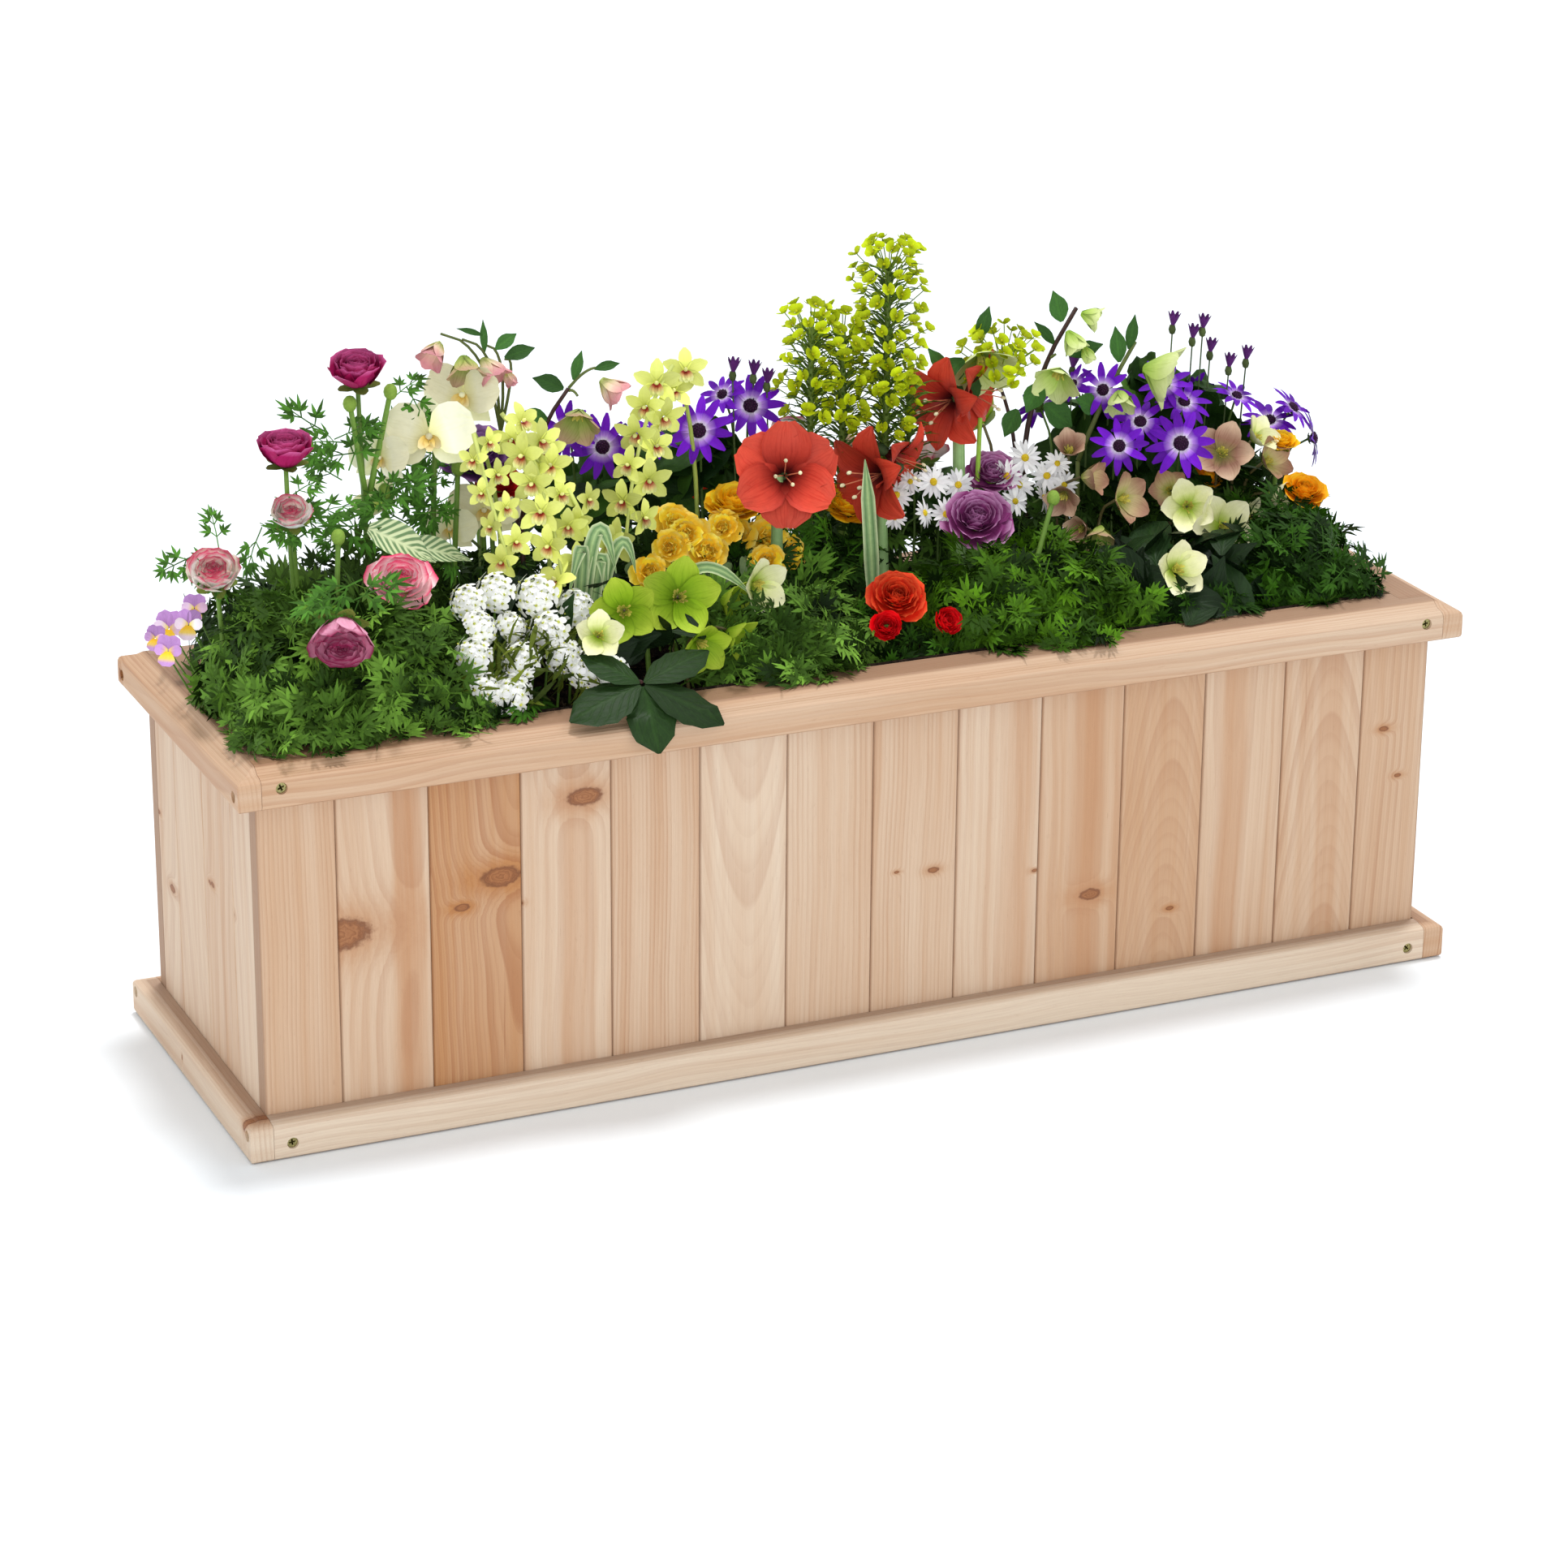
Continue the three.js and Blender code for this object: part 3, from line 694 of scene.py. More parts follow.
def trumpet(bunch, flower, openness, spin, wide):
    """An amaryllis: six broad tepals that rise out of a narrow throat and flare, with long pale stamens."""
    inner = (np.arange(6) % 2).astype(float)
    tip = (1.0, 0.84, 0.34) if wide > 0.5 else (0.92, 0.62, 0.08)
    grid = petals(np.arange(6) * np.pi / 3 + spin, 1.22, -1.5 * openness + 0.1 * inner, 0.66, wide - 0.08 * inner,
                  (0.18, 0.46, 0.78, 0.98, *tip), 7, 0.22, 0.02, -0.32 + 0.02 * inner, 0.04)
    bunch.put(flower, grid, gradient(7, (0, (36, 8, 12)), (0.2, (104, 18, 18)), (0.38, (182, 50, 36)),
                                     (0.65, (212, 68, 48)), (1, (222, 80, 58))), shade=0.10)
    turn = np.arange(4) * 1.7
    foot = np.zeros((4, 3)) + (0, 0, -0.25)
    tips = np.stack([0.13 * np.cos(turn), 0.13 * np.sin(turn), np.full(4, 0.20)], -1)
    bunch.put(flower, tubes(foot, (foot + tips) / 2 + (0, 0, 0.05), tips, 0.008, 6, 5), (214, 130, 96), ring=True)
    bunch.put(flower, dotted(beads(0.022, 1.5), tips), (240, 232, 190), ring=True)
    FLOWER_GREEN.put(flower, beads(0.075, 2.0, 7, 9, -0.40), (70, 92, 58), ring=True)


def dome_of_florets(bunch, discs, flower, count=24):
    """A candytuft head: four-petalled florets on a dome, the outer ones larger."""
    spiral = np.arange(count) * GOLDEN
    share = (np.arange(count) + 0.5) / count
    fall = share * 1.35
    axis = np.stack([np.sin(fall) * np.cos(spiral), np.sin(fall) * np.sin(spiral), np.cos(fall)], -1)
    floret = petals((0.5, 2.64, 3.9, 5.5), 0.15, -0.25, (0.34, 0.34, 0.58, 0.58), (0.30, 0.30, 0.46, 0.46),
                    (0.35, 0.95, 1.0, 0.5), 3, 0.1, 0.04)
    frames = np.stack([facing_frame(a, s) for a, s in zip(axis, -spiral)])
    sizes = 0.26 + 0.10 * share
    bunch.put(flower, beads(0.34, 0.55, 7, 12), (214, 222, 182), ring=True)
    bunch.put(flower, copies(floret, axis * (0.42, 0.42, 0.22), frames, sizes),
              gradient(4, (0, (230, 236, 190)), (0.35, (252, 253, 248)), (1, (253, 254, 252))), shade=0.05)
    discs.put(flower, copies(beads(0.11, 1.0, 3, 5), axis * (0.43, 0.43, 0.23), frames, sizes), (196, 200, 84),
              ring=True)
    place, size, facing = flower
    stem(np.array(place) - np.array(facing) * size * 0.1, foot=(place[0], place[1] + 12, FOOT), radius=1.2)


def spurge_spire(bunch, discs, foot, top, radius, count):
    """A euphorbia head: cupped pairs of round bracts on fine stalks, in a column."""
    foot, top = np.array(foot, float), np.array(top, float)
    share = np.sort(DRAW.uniform(0.0, 1.0, count))
    turn = np.arange(count) * GOLDEN
    reach = radius * (0.55 + 0.45 * DRAW.uniform(size=count)) * np.clip(1.15 - 0.55 * share ** 4, 0.2, 1)
    core = foot + (top - foot) * share[:, None]
    outward = np.stack([np.cos(turn), np.sin(turn), np.zeros(count)], -1)
    places = core + outward * reach[:, None] + np.outer(6 + 10 * share, UP)
    axis = (outward * 0.8 + np.outer(0.55 + 0.5 * share, UP)) * 0.75 + np.array(TO_THE_FRONT) * 0.15
    frames = np.stack([facing_frame(a, s) for a, s in zip(axis, DRAW.uniform(0, 6, count))])
    cup = petals((0.0, np.pi), 0.35, 0.45, 0.55, 1.0, (0.5, 0.95, 1.0, 0.62), 5, 0.35, 0.02)
    sizes = DRAW.uniform(9.5, 13.0, count)
    bunch.add(copies(cup, places, frames, sizes),
              gradient(4, (0, (150, 160, 6)), (0.5, (186, 204, 16)), (1, (200, 216, 34))))
    discs.add(copies(beads(0.11, 0.8, 4, 6, 0.14), places, frames, sizes), (186, 186, 20), ring=True)
    bunch.add(tubes(core - (0, 0, 6), core + outward * reach[:, None] * 0.5, places, 0.55, 5, 4), (132, 158, 50),
              ring=True)


def whorled_leaves(bunch, foot, top, count, length, tint):
    """Narrow leaves all the way up a stem, on the golden angle."""
    foot, top = np.array(foot, float), np.array(top, float)
    share = (np.arange(count) + 0.5) / count
    grid = petals(np.arange(count) * GOLDEN, 0.75, -0.9, length * DRAW.uniform(0.8, 1.15, count), length * 0.13,
                  SPEAR, 3, 0.4, 1.5, 0, 0, foot + (top - foot) * share[:, None])
    bunch.add(grid, tint, shade=0.2)


# ---------------------------------------------------------------- leaves, at unit size along +X

def fern_leaf(draw):
    """A finely cut leaf: five leaflets on a stalk, each a fan of narrow pointed teeth that droop at the tips."""
    teeth = []  # foot, turn, length, width
    for along, lean, reach in ((0.30, 1.0, 0.30), (0.30, -1.0, 0.30), (0.56, 0.75, 0.24), (0.56, -0.75, 0.24),
                               (0.70, 0.0, 0.14)):
        lean += draw.normal() * 0.18
        way = np.array([np.cos(lean), np.sin(lean)])
        hub = np.array([along, 0]) + reach * 0.62 * way
        for spread, long in ((-1.15, 0.17), (-0.58, 0.24), (0.0, 0.28), (0.58, 0.24), (1.15, 0.17)):
            teeth.append((*(hub - 0.03 * way), 0, lean + spread + draw.normal() * 0.12,
                          long * draw.uniform(0.8, 1.2), 0.068))
        teeth.append((along - 0.02, 0, 0, np.arctan2(hub[1], hub[0] - along + 0.02),
                      np.hypot(hub[1], hub[0] - along) + 0.06, 0.03))
    teeth = np.array(teeth)
    _, _, _, turn, length, width = teeth.T
    grid = petals(turn, draw.uniform(-0.15, 0.4, len(turn)), -0.5, length, width, (0.6, 1.0, 0.15), 2,
                  base=teeth[:, :3])
    stalk = petals(0.0, 0.05, -0.1, 0.80, 0.028, (1, 0.9, 0.6), 2)
    grid = np.concatenate([grid, stalk])
    grid[..., 2] -= 0.25 * (grid[..., 0] ** 2 + 0.9 * grid[..., 1] ** 2)
    return grid


def lobed_leaf(draw, lobes, depth):
    """A broad leaf, as a fan: the outline's distance from the stalk end swells at each lobe."""
    draw.normal()  # keeps this leaf's place in the order of draws
    turn = np.linspace(-2.75, 2.75, 25)
    lobe = np.abs(np.cos(turn * lobes / 2 * 0.98)) ** 1.4
    reach = (0.42 + 0.20 * np.cos(turn)) * (1 - depth + 2 * depth * lobe)
    rings = np.array([0.02, 0.35, 0.7, 1.0])[:, None]
    across, along = rings * reach * np.sin(turn), 0.30 + rings * reach * np.cos(turn)
    height = 0.05 * rings * np.cos(turn * lobes) - 0.35 * (along - 0.3) ** 2 - 0.25 * across ** 2
    return np.stack([along, across, height], -1)[None]


def mound(centre, radii, count, size, draw):
    """Places and frames of leaves in a mound: on and in a half ellipsoid, each leaf leaning out from its middle."""
    turn, up = draw.uniform(0, 2 * np.pi, count), draw.uniform(-0.15, 1, count)
    flat = np.sqrt(1 - np.clip(up, -1, 1) ** 2)
    out_way = np.stack([flat * np.cos(turn), flat * np.sin(turn), up], -1)
    depth = draw.uniform(0.55, 1.0, count)[:, None] ** 0.6
    offset = out_way * np.array(radii) * depth
    ahead = unit(out_way * 0.35 + draw.normal(size=(count, 3)) * 0.75 + (0, 0, 0.35))
    top = out_way * 1.1 + (0, -0.1, 0.5) + draw.normal(size=(count, 3)) * 0.3
    side = unit(np.cross(top, ahead))
    sizes = size * draw.uniform(0.75, 1.25, count)
    frames = np.stack([ahead, side, np.cross(ahead, side)], 1)
    places = np.array(centre) + offset * (1 + draw.normal(size=count)[:, None] * 0.09)
    return places - ahead * sizes[:, None] * 0.5, frames, sizes, depth[:, 0]


def fill_mound(bunch, templates, centre, radii, count, size, tints, draw):
    """A mound of leaves from a few templates, with painted shade on the leaves deep inside, painted light on the
    outer ones, and a few bright young leaves.
    """
    places, frames, sizes, depth = mound(centre, radii, count, size, draw)
    kind = np.arange(count) % len(templates)
    dark, light = np.array(tints, float)
    # painted light and shade: inner leaves keep the dark tint and outer leaves move towards the light one; the random
    # part makes some leaves bright young ones
    painted_light_and_young_leaves = np.clip((depth - 0.72) / 0.28, 0, 1) * 0.55 + draw.uniform(-0.05, 0.5, count)
    for number, template in enumerate(templates):
        mine = kind == number
        tint = dark + (light - dark) * np.repeat(painted_light_and_young_leaves[mine], len(template))[:, None, None, None]
        bunch.add(copies(template, places[mine], frames[mine], sizes[mine]), tint, shade=0.14)


def strap(bunch, start, middle, end, wide):
    """A strap leaf with pale margins, along the curve from start to end that middle draws towards it."""
    share, across, top = np.linspace(0, 1, 14)[:, None], np.linspace(-1, 1, 5), np.array(TO_THE_FRONT)
    path = curve(*np.array((start, middle, end), float), share)
    side = unit(np.cross(top, np.gradient(path, axis=0)))
    half = wide / 2 * np.interp(share, (0, 0.2, 0.7, 1), (0.8, 1, 0.9, 0.06)) * across
    margin, body, rib = (212, 224, 176), (104, 140, 92), (170, 196, 140)
    raised = top * (0.35 * np.abs(half * across))[..., None]
    bunch.add((path[:, None] + side[:, None] * half[..., None] + raised)[None],
              np.array([margin, body, rib, body, margin], float)[None, None], shade=0.06)


def add_blade(bunch, foot, tip, wide, top, tint, shape):
    """One leaf from foot to tip, with its upper face towards top."""
    length, axes = leaf_frame(foot, tip, top)
    leaf = petals(0.0, 0.175, -0.35, length, wide, shape, 7, 0.25, 0, 0, 0.01)
    bunch.add(leaf @ axes + np.array(foot, float), tint, shade=0.2)


def striped_skin():
    """A cream-striped leaf: bands that slant out from the pale midrib."""
    finish, tree, shader = material("striped_leaf_skin", Roughness=0.4)
    side, along, _ = split(tree, attribute(tree, "blade", "Vector"))
    band = (along * 9.0 - side.maths("ABSOLUTE") * 2.2).fraction()
    stripe = (band.ramp(0.15, 0.35) * (1.0 - band.ramp(0.65, 0.85))).maths("MAXIMUM", (side * 8.0).falloff())
    tint = mixed(tree, (stripe * 0.9).clamped(), colour(104, 138, 88), colour(218, 230, 180))
    finished(tree, shader, tint, stripe, 0.0004, 0.6)
    return finish


# ---------------------------------------------------------------- soil

def soil_skin():
    """Dark peat with bark crumbs and a few pale roots, which are thin contours of a warped noise."""
    finish, tree, shader = material("peat_and_bark", Roughness=0.92, Specular_IOR_Level=0.2)
    place = object_place(tree)
    tint = attribute(tree, "tint")
    crumb = out(made(tree, "TexVoronoi", {"Vector": place, "Scale": 240.0}), "Distance")
    grit = noise(tree, place, 420.0, 4.0, 0.7)
    root = noise(tree, place, 26.0, 3.0, 0.55)
    thread = ((root - 0.5) * 90.0).falloff() * noise(tree, place, 9.0, 1.0).ramp(0.5, 0.62)
    for share, over in ((crumb.ramp(0.2, 0.75), (24, 17, 12)), (grit.ramp(0.62, 0.75) * 0.5, (108, 80, 52)),
                        (thread * 0.22, (170, 146, 108))):
        tint = mixed(tree, share, tint, colour(*over))
    finished(tree, shader, tint, grit * 0.6 - crumb + thread * 0.6, 0.0025, 0.9)
    return finish


SOIL_TOP, SOIL_DEPTH, CRUMBS = 271.5, 219.4, 700


def soil_block():
    """The root ball: rings from the middle of the bumpy top out to a rectangle notched round the corner posts,
    down its sides and in under it."""
    quarter = [(464.5, 0), (464.5, 46), (464.5, 92), (447, 92), (447, 109.5), (223, 109.5), (0, 109.5)]
    corners = quarter + [(-x, y) for x, y in quarter[-2::-1]] + [(-x, -y) for x, y in quarter[1:]] + [
        (x, -y) for x, y in quarter[-2:0:-1]]
    outline = np.array(corners, float)
    loop = np.concatenate([outline, outline[:1]])
    run = np.concatenate([[0], np.cumsum(np.linalg.norm(np.diff(loop, axis=0), axis=1))])
    marks = np.unique(np.concatenate([run, np.linspace(0, run[-1], 260)]).round(2))[:-1]
    edge = np.stack([np.interp(marks, run, loop[:, part]) for part in (0, 1)], -1)
    steps = [(s, 0) for s in np.linspace(0.002, 1, 34)] + [(1, d) for d in np.linspace(4, 218, 22)] + [
        (s, SOIL_DEPTH) for s in (0.97, 0.6, 0.3, 0.002)]
    share, drop = np.array(steps, float).T[..., None]
    flat = edge[None] * share[..., None]
    bump = np.sin(flat[..., 0] * 0.11) * np.cos(flat[..., 1] * 0.13) * 3.0 + DRAW.normal(size=flat.shape[:2]) * 1.6
    bump = bump * (drop < 1) * np.clip((1 - share) * 9, 0.15, 1)
    inward = np.where((drop > 1) & (drop < 219), np.abs(DRAW.normal(size=flat.shape[:2])) * 0.35, 0.0)
    flat = flat * (1 - inward[..., None] / 110)
    soil = Bunch("potting_soil_block", soil_skin(), slot="potting_mix")
    soil.add(np.stack([flat[..., 0], flat[..., 1], SOIL_TOP - drop + bump], -1)[None], (46, 34, 24), ring=True,
             shade=0)
    places = np.stack([DRAW.uniform(*reach, CRUMBS) for reach in ((-440, 440), (-104, 104), (270, 275))], -1)
    frames = np.stack([facing_frame(DRAW.normal(size=3)) for _ in range(CRUMBS)])
    soil.add(copies(beads(1.0, 0.8, 4, 6), places, frames, DRAW.uniform(1.2, 4.5, CRUMBS)), (60, 44, 30), ring=True,
             shade=0.4)
    return soil.build()


# ---------------------------------------------------------------- planting plan, in millimetres

# Each flower's tints: the foot of its petals, the middle and the edge.
BURGUNDY = ((112, 8, 54), (174, 30, 98), (212, 100, 160))
WHITE_PINK = ((226, 96, 136), (255, 250, 236), (206, 24, 92))
PINK_WHITE = ((238, 90, 136), (255, 226, 226), (226, 36, 104))
STREAKED = ((140, 6, 70), (240, 172, 200), (144, 4, 72))
DULL_PURPLE = ((72, 34, 88), (126, 76, 144), (170, 130, 190))
DARK_RED = ((110, 6, 10), (180, 20, 22), (206, 40, 34))
YELLOW = ((240, 150, 0), (255, 196, 16), (255, 220, 60))
ORANGE = ((232, 130, 0), (255, 172, 10), (255, 196, 40))
PLUM = ((84, 22, 70), (160, 70, 138), (216, 160, 206))
SCARLET = ((90, 4, 4), (226, 48, 24), (240, 96, 50))
RED = ((60, 0, 4), (240, 6, 26), (246, 34, 40))
BLUSH = ((168, 182, 96), (236, 208, 182), (218, 150, 156))
OLIVE = ((120, 144, 56), (164, 178, 92), (190, 160, 128))
PALE_GREEN = ((140, 176, 60), (184, 206, 110), (214, 224, 160))
CREAM = ((150, 184, 40), (230, 234, 168), (246, 244, 204))
LIME = ((108, 148, 18), (142, 176, 34), (172, 194, 60))
MUSHROOM = ((140, 146, 80), (152, 110, 92), (212, 182, 156))
BISCUIT = ((166, 184, 84), (206, 190, 140), (176, 134, 112))
YELLOW_TINTS = ((255, 184, 10), (255, 214, 56), (255, 232, 124))
VIOLET = ((250, 246, 255), (106, 18, 184))  # foot and tip
RANUNCULUS_PLAN = [  # tints, x, y, z, across, facing
    (BURGUNDY, -346, 40, 532, 51, (-0.1, -0.25, 1)), (BURGUNDY, -413, 10, 487, 51, (-0.05, -0.15, 1)),
    (WHITE_PINK, -413, 0, 442, 40, (-0.2, -0.5, 0.9)), (WHITE_PINK, -479, -20, 410, 48, (-0.25, -0.55, 0.85)),
    (PINK_WHITE, -342, -36, 392, 56, (-0.1, -0.5, 0.9)), (STREAKED, -410, -102, 384, 60, (-0.25, -0.7, -0.55)),
    (DULL_PURPLE, -244, 62, 451, 62, (-0.1, -0.5, 0.85)), (DARK_RED, -230, 55, 431, 42, (0.1, -0.5, 0.8)),
    (YELLOW, -44, 30, 399, 50, (-0.1, -0.3, 0.95)), (YELLOW, 57, 40, 383, 48, (-0.1, -0.4, 0.9)),
    (PLUM, 153, 5, 370, 58, (-0.25, -0.6, 0.75)), (PLUM, 188, 50, 391, 46, (-0.2, -0.5, 0.8)),
    (SCARLET, 48, -70, 342, 47, (-0.2, -0.6, 0.75)), (RED, 28, -95, 329, 28, (-0.3, -0.75, 0.5)),
    (RED, 82, -87, 324, 28, (0.1, -0.85, 0.45)), (ORANGE, 447, 0, 360, 42, (0, -0.45, 0.9)),
    (YELLOW, 443, 32, 394, 30, (0, -0.35, 0.95)), (ORANGE, 387, 52, 365, 30, (0.1, -0.4, 0.9)),
    (BURGUNDY, -240, 92, 480, 34, (-0.1, 0.5, 0.9)), (WHITE_PINK, 30, 95, 430, 40, (0.1, 0.6, 0.8)),
    (YELLOW, 330, 95, 400, 42, (0.2, 0.7, 0.8)), (SCARLET, -60, 96, 385, 42, (0, 0.7, 0.7)),
    (PINK_WHITE, 150, 98, 396, 44, (0, 0.7, 0.75)), (ORANGE, -390, 98, 346, 42, (-0.2, 0.6, 0.8)),
]
DAISY_PLAN = [  # x, y, z, across, facing
    (-173, 60, 464, 46, (-0.5, -0.7, 0.4)), (-143, 60, 449, 50, (-0.2, -0.9, 0.2)),
    (-67, 50, 456, 54, (-0.4, -0.8, 0.5)), (-19, 60, 468, 52, (-0.2, -0.8, 0.6)),
    (-40, 66, 478, 38, (-0.6, -0.4, 0.7)), (-100, 60, 452, 40, (0.3, -0.6, 0.9)),
    (289, 56, 449, 44, (-0.6, -0.7, 0.4)), (345, 56, 448, 44, (-0.2, -0.7, 0.9)),
    (358, 46, 434, 46, (-0.1, -0.6, 0.95)), (313, 36, 425, 46, (-0.3, -0.7, 0.8)),
    (288, 24, 411, 46, (-0.3, -0.9, 0.4)), (339, 14, 410, 56, (-0.35, -0.8, 0.5)), (417, 64, 428, 40, (0.2, -0.4, 1)),
    (447, 60, 405, 46, (-0.3, -0.4, 0.9)), (467, 58, 414, 44, (0.6, -0.4, 0.8)), (484, 52, 388, 46, (0.9, -0.5, 0.2)),
    (265, 62, 455, 34, (-0.7, -0.3, 0.6)), (250, 92, 430, 44, (-0.1, 0.8, 0.5)), (390, 94, 425, 44, (0.3, 0.8, 0.5)),
    (-110, 95, 440, 44, (0, 0.8, 0.5)),
]
DAISY_BUDS = [
    (-34, 60, 494), (-5, 60, 482), (-14, 66, 488), (378, 72, 476), (413, 72, 448), (358, 70, 489), (396, 74, 462),
    (430, 74, 452), (386, 70, 484), (270, 74, 462),
]
HELLEBORE_PLAN = [  # tints, x, y, z, across, facing, openness
    (BLUSH, -273, 60, 545, 44, (-0.6, -0.5, -0.5), 0.95), (OLIVE, -256, 58, 534, 46, (-0.1, -0.6, -0.75), 0.7),
    (BLUSH, -240, 60, 530, 46, (0.3, -0.5, -0.7), 0.8), (BLUSH, -222, 58, 519, 26, (0.3, -0.3, -0.9), 1.15),
    (BLUSH, -144, 60, 503, 46, (0.6, -0.4, -0.6), 0.85), (OLIVE, -166, 50, 484, 54, (-0.35, -0.7, -0.5), 0.7),
    (PALE_GREEN, 272, 66, 512, 36, (0.7, -0.5, -0.3), 0.8), (PALE_GREEN, 258, 62, 500, 40, (0.3, -0.4, -0.8), 0.9),
    (PALE_GREEN, 272, 60, 486, 28, (0.3, -0.4, -0.8), 1.15), (PALE_GREEN, 251, 60, 470, 54, (-0.5, -0.6, -0.5), 0.55),
    (PALE_GREEN, 318, 44, 468, 70, (0.75, -0.55, -0.3), 0.5), (PALE_GREEN, 300, 50, 450, 44, (-0.2, -0.6, -0.7), 0.8),
    (PALE_GREEN, 178, 58, 490, 66, (-0.1, -0.7, -0.45), 0.4), (MUSHROOM, 249, 36, 405, 42, (-0.2, -0.5, 0.7), 0.75),
    (BISCUIT, 256, 26, 388, 42, (0.5, -0.6, 0.1), 0.7), (MUSHROOM, 240, 24, 378, 42, (-0.5, -0.7, -0.2), 0.6),
    (BISCUIT, 284, 16, 369, 50, (0.35, -0.8, 0.3), 0.35), (BISCUIT, 338, 26, 367, 44, (-0.4, -0.6, 0.3), 0.55),
    (MUSHROOM, 384, 28, 392, 54, (-0.30, -0.80, 0.5), 0.15), (BISCUIT, 427, 34, 378, 48, (0.3, -0.7, 0.4), 0.5),
    (CREAM, 418, 38, 397, 44, (0.4, -0.6, 0.6), 0.5), (CREAM, 427, 24, 355, 50, (0.4, -0.7, -0.1), 0.6),
    (CREAM, 339, 0, 361, 50, (-0.35, -0.85, 0.35), 0.25), (CREAM, 361, -16, 345, 56, (-0.2, -0.85, 0.4), 0.15),
    (CREAM, 389, -2, 346, 40, (0.5, -0.7, 0.2), 0.45), (CREAM, 283, -80, 338, 54, (0.05, -0.8, 0.3), 0.4),
    (OLIVE, 260, 0, 354, 46, (-0.3, -0.6, -0.5), 0.7), (OLIVE, 256, -16, 339, 44, (0.2, -0.7, -0.4), 0.7),
    (MUSHROOM, 244, -4, 356, 36, (-0.6, -0.4, 0.1), 0.8), (CREAM, -211, -100, 354, 44, (-0.2, -0.85, 0.45), 0.4),
    (LIME, -181, -78, 364, 58, (-0.35, -0.85, 0.3), 0.3), (LIME, -132, -64, 364, 66, (-0.2, -0.85, 0.3), 0.2),
    (LIME, -126, -88, 336, 50, (0.1, -0.8, -0.1), 0.45), (CREAM, -70, -62, 366, 52, (0.3, -0.8, 0.1), 0.35),
    (LIME, -93, -56, 356, 44, (0.5, -0.7, -0.1), 0.5), (LIME, -100, -84, 340, 44, (0.5, -0.7, -0.3), 0.55),
    (LIME, 200, 92, 420, 46, (0, 0.7, 0.3), 0.4), (CREAM, -310, 96, 410, 46, (-0.1, 0.8, 0.3), 0.35),
    (MUSHROOM, 90, 96, 400, 44, (0, 0.8, 0.2), 0.4),
]
MOTH_PLAN = [  # x, y, z, across, facing
    (-291, 40, 479, 66, (-0.25, -0.85, 0.4)), (-256, 58, 503, 58, (-0.6, -0.6, 0.3)),
    (-328, 44, 466, 46, (-0.6, -0.65, 0.2)), (-240, 62, 409, 54, (-0.2, -0.85, 0.3)),
    (-268, 60, 398, 42, (-0.5, -0.75, 0.2)),
]
SPRAYS = [  # boat orchid sprays: start, middle, end of the arch, flowers, size
    ((-264, 14, 486), (-258, 0, 440), (-252, -28, 392), 8, 25),
    ((-226, 12, 482), (-212, -6, 440), (-214, -42, 376), 10, 31),
    ((-92, 40, 514), (-128, 30, 478), (-150, -4, 388), 12, 31),
    ((-238, 24, 496), (-224, 14, 474), (-208, 4, 450), 4, 29),
    ((-196, -4, 440), (-188, -16, 420), (-184, -34, 396), 3, 28),
]
YELLOW_ROSETTES = [  # x, y, z, across
    (-94, 10, 386, 38), (-82, 0, 374, 38), (-22, 20, 371, 40), (-137, -20, 371, 30), (-100, 20, 394, 32),
    (-36, -12, 365, 30), (-49, 20, 380, 34), (-62, 12, 388, 30), (-8, 10, 362, 30), (-110, 4, 380, 30),
]
AMARYLLIS_PLAN = [  # x, y, z, across, facing, openness, tepal width
    (-20, -12, 433, 74, (-0.3, -0.86, 0.34), 1.0, 0.6), (56, 8, 414, 76, (-0.93, -0.32, -0.07), 1.1, 0.44),
    (98, 20, 418, 64, (0.56, -0.70, -0.38), 1.2, 0.42), (138, 48, 454, 72, (-0.90, -0.42, -0.10), 1.1, 0.44),
    (178, 50, 458, 70, (0.62, -0.70, -0.17), 1.15, 0.44),
]
CANDYTUFT_PLAN = [  # x, y, z
    (-299, -60, 380), (-245, -60, 378), (-297, -80, 366), (-268, -70, 358), (-243, -80, 356), (-214, -60, 364),
    (-306, -90, 349), (-271, -95, 341), (-301, -104, 326), (-237, -92, 341), (-222, -100, 330), (-276, -56, 384),
    (-284, -106, 322), (-204, -104, 326),
]
SPURGE_PLAN = [  # foot, top, radius, bracts
    ((90, 46, 470), (90, 42, 578), 33, 92), ((88, 46, 432), (90, 44, 480), 28, 30),
    ((58, 56, 440), (57, 54, 524), 24, 50), ((28, 52, 450), (28, 50, 534), 26, 50),
    ((190, 58, 462), (200, 56, 492), 32, 46),
]
WHITE_STARS = [  # x, y, z, across
    (94, 30, 391, 26), (126, 30, 398, 28), (148, 30, 393, 26), (196, 40, 392, 26), (232, 40, 388, 26),
    (198, 28, 374, 24), (132, 18, 374, 26), (112, 16, 378, 24), (214, 44, 404, 28), (226, 34, 372, 24),
    (206, 38, 384, 28), (240, 38, 398, 22), (104, 26, 402, 20), (88, 20, 376, 20), (246, 36, 380, 22),
]
VIOLAS = [  # x, y, z, across, lower petals
    (-503, 22, 360, 28, (240, 210, 236)), (-492, 8, 366, 24, (246, 226, 240)), (-510, 2, 350, 24, (196, 150, 206)),
    (-482, 26, 372, 22, (240, 200, 230)), (-516, 14, 357, 20, (206, 160, 214)),
]


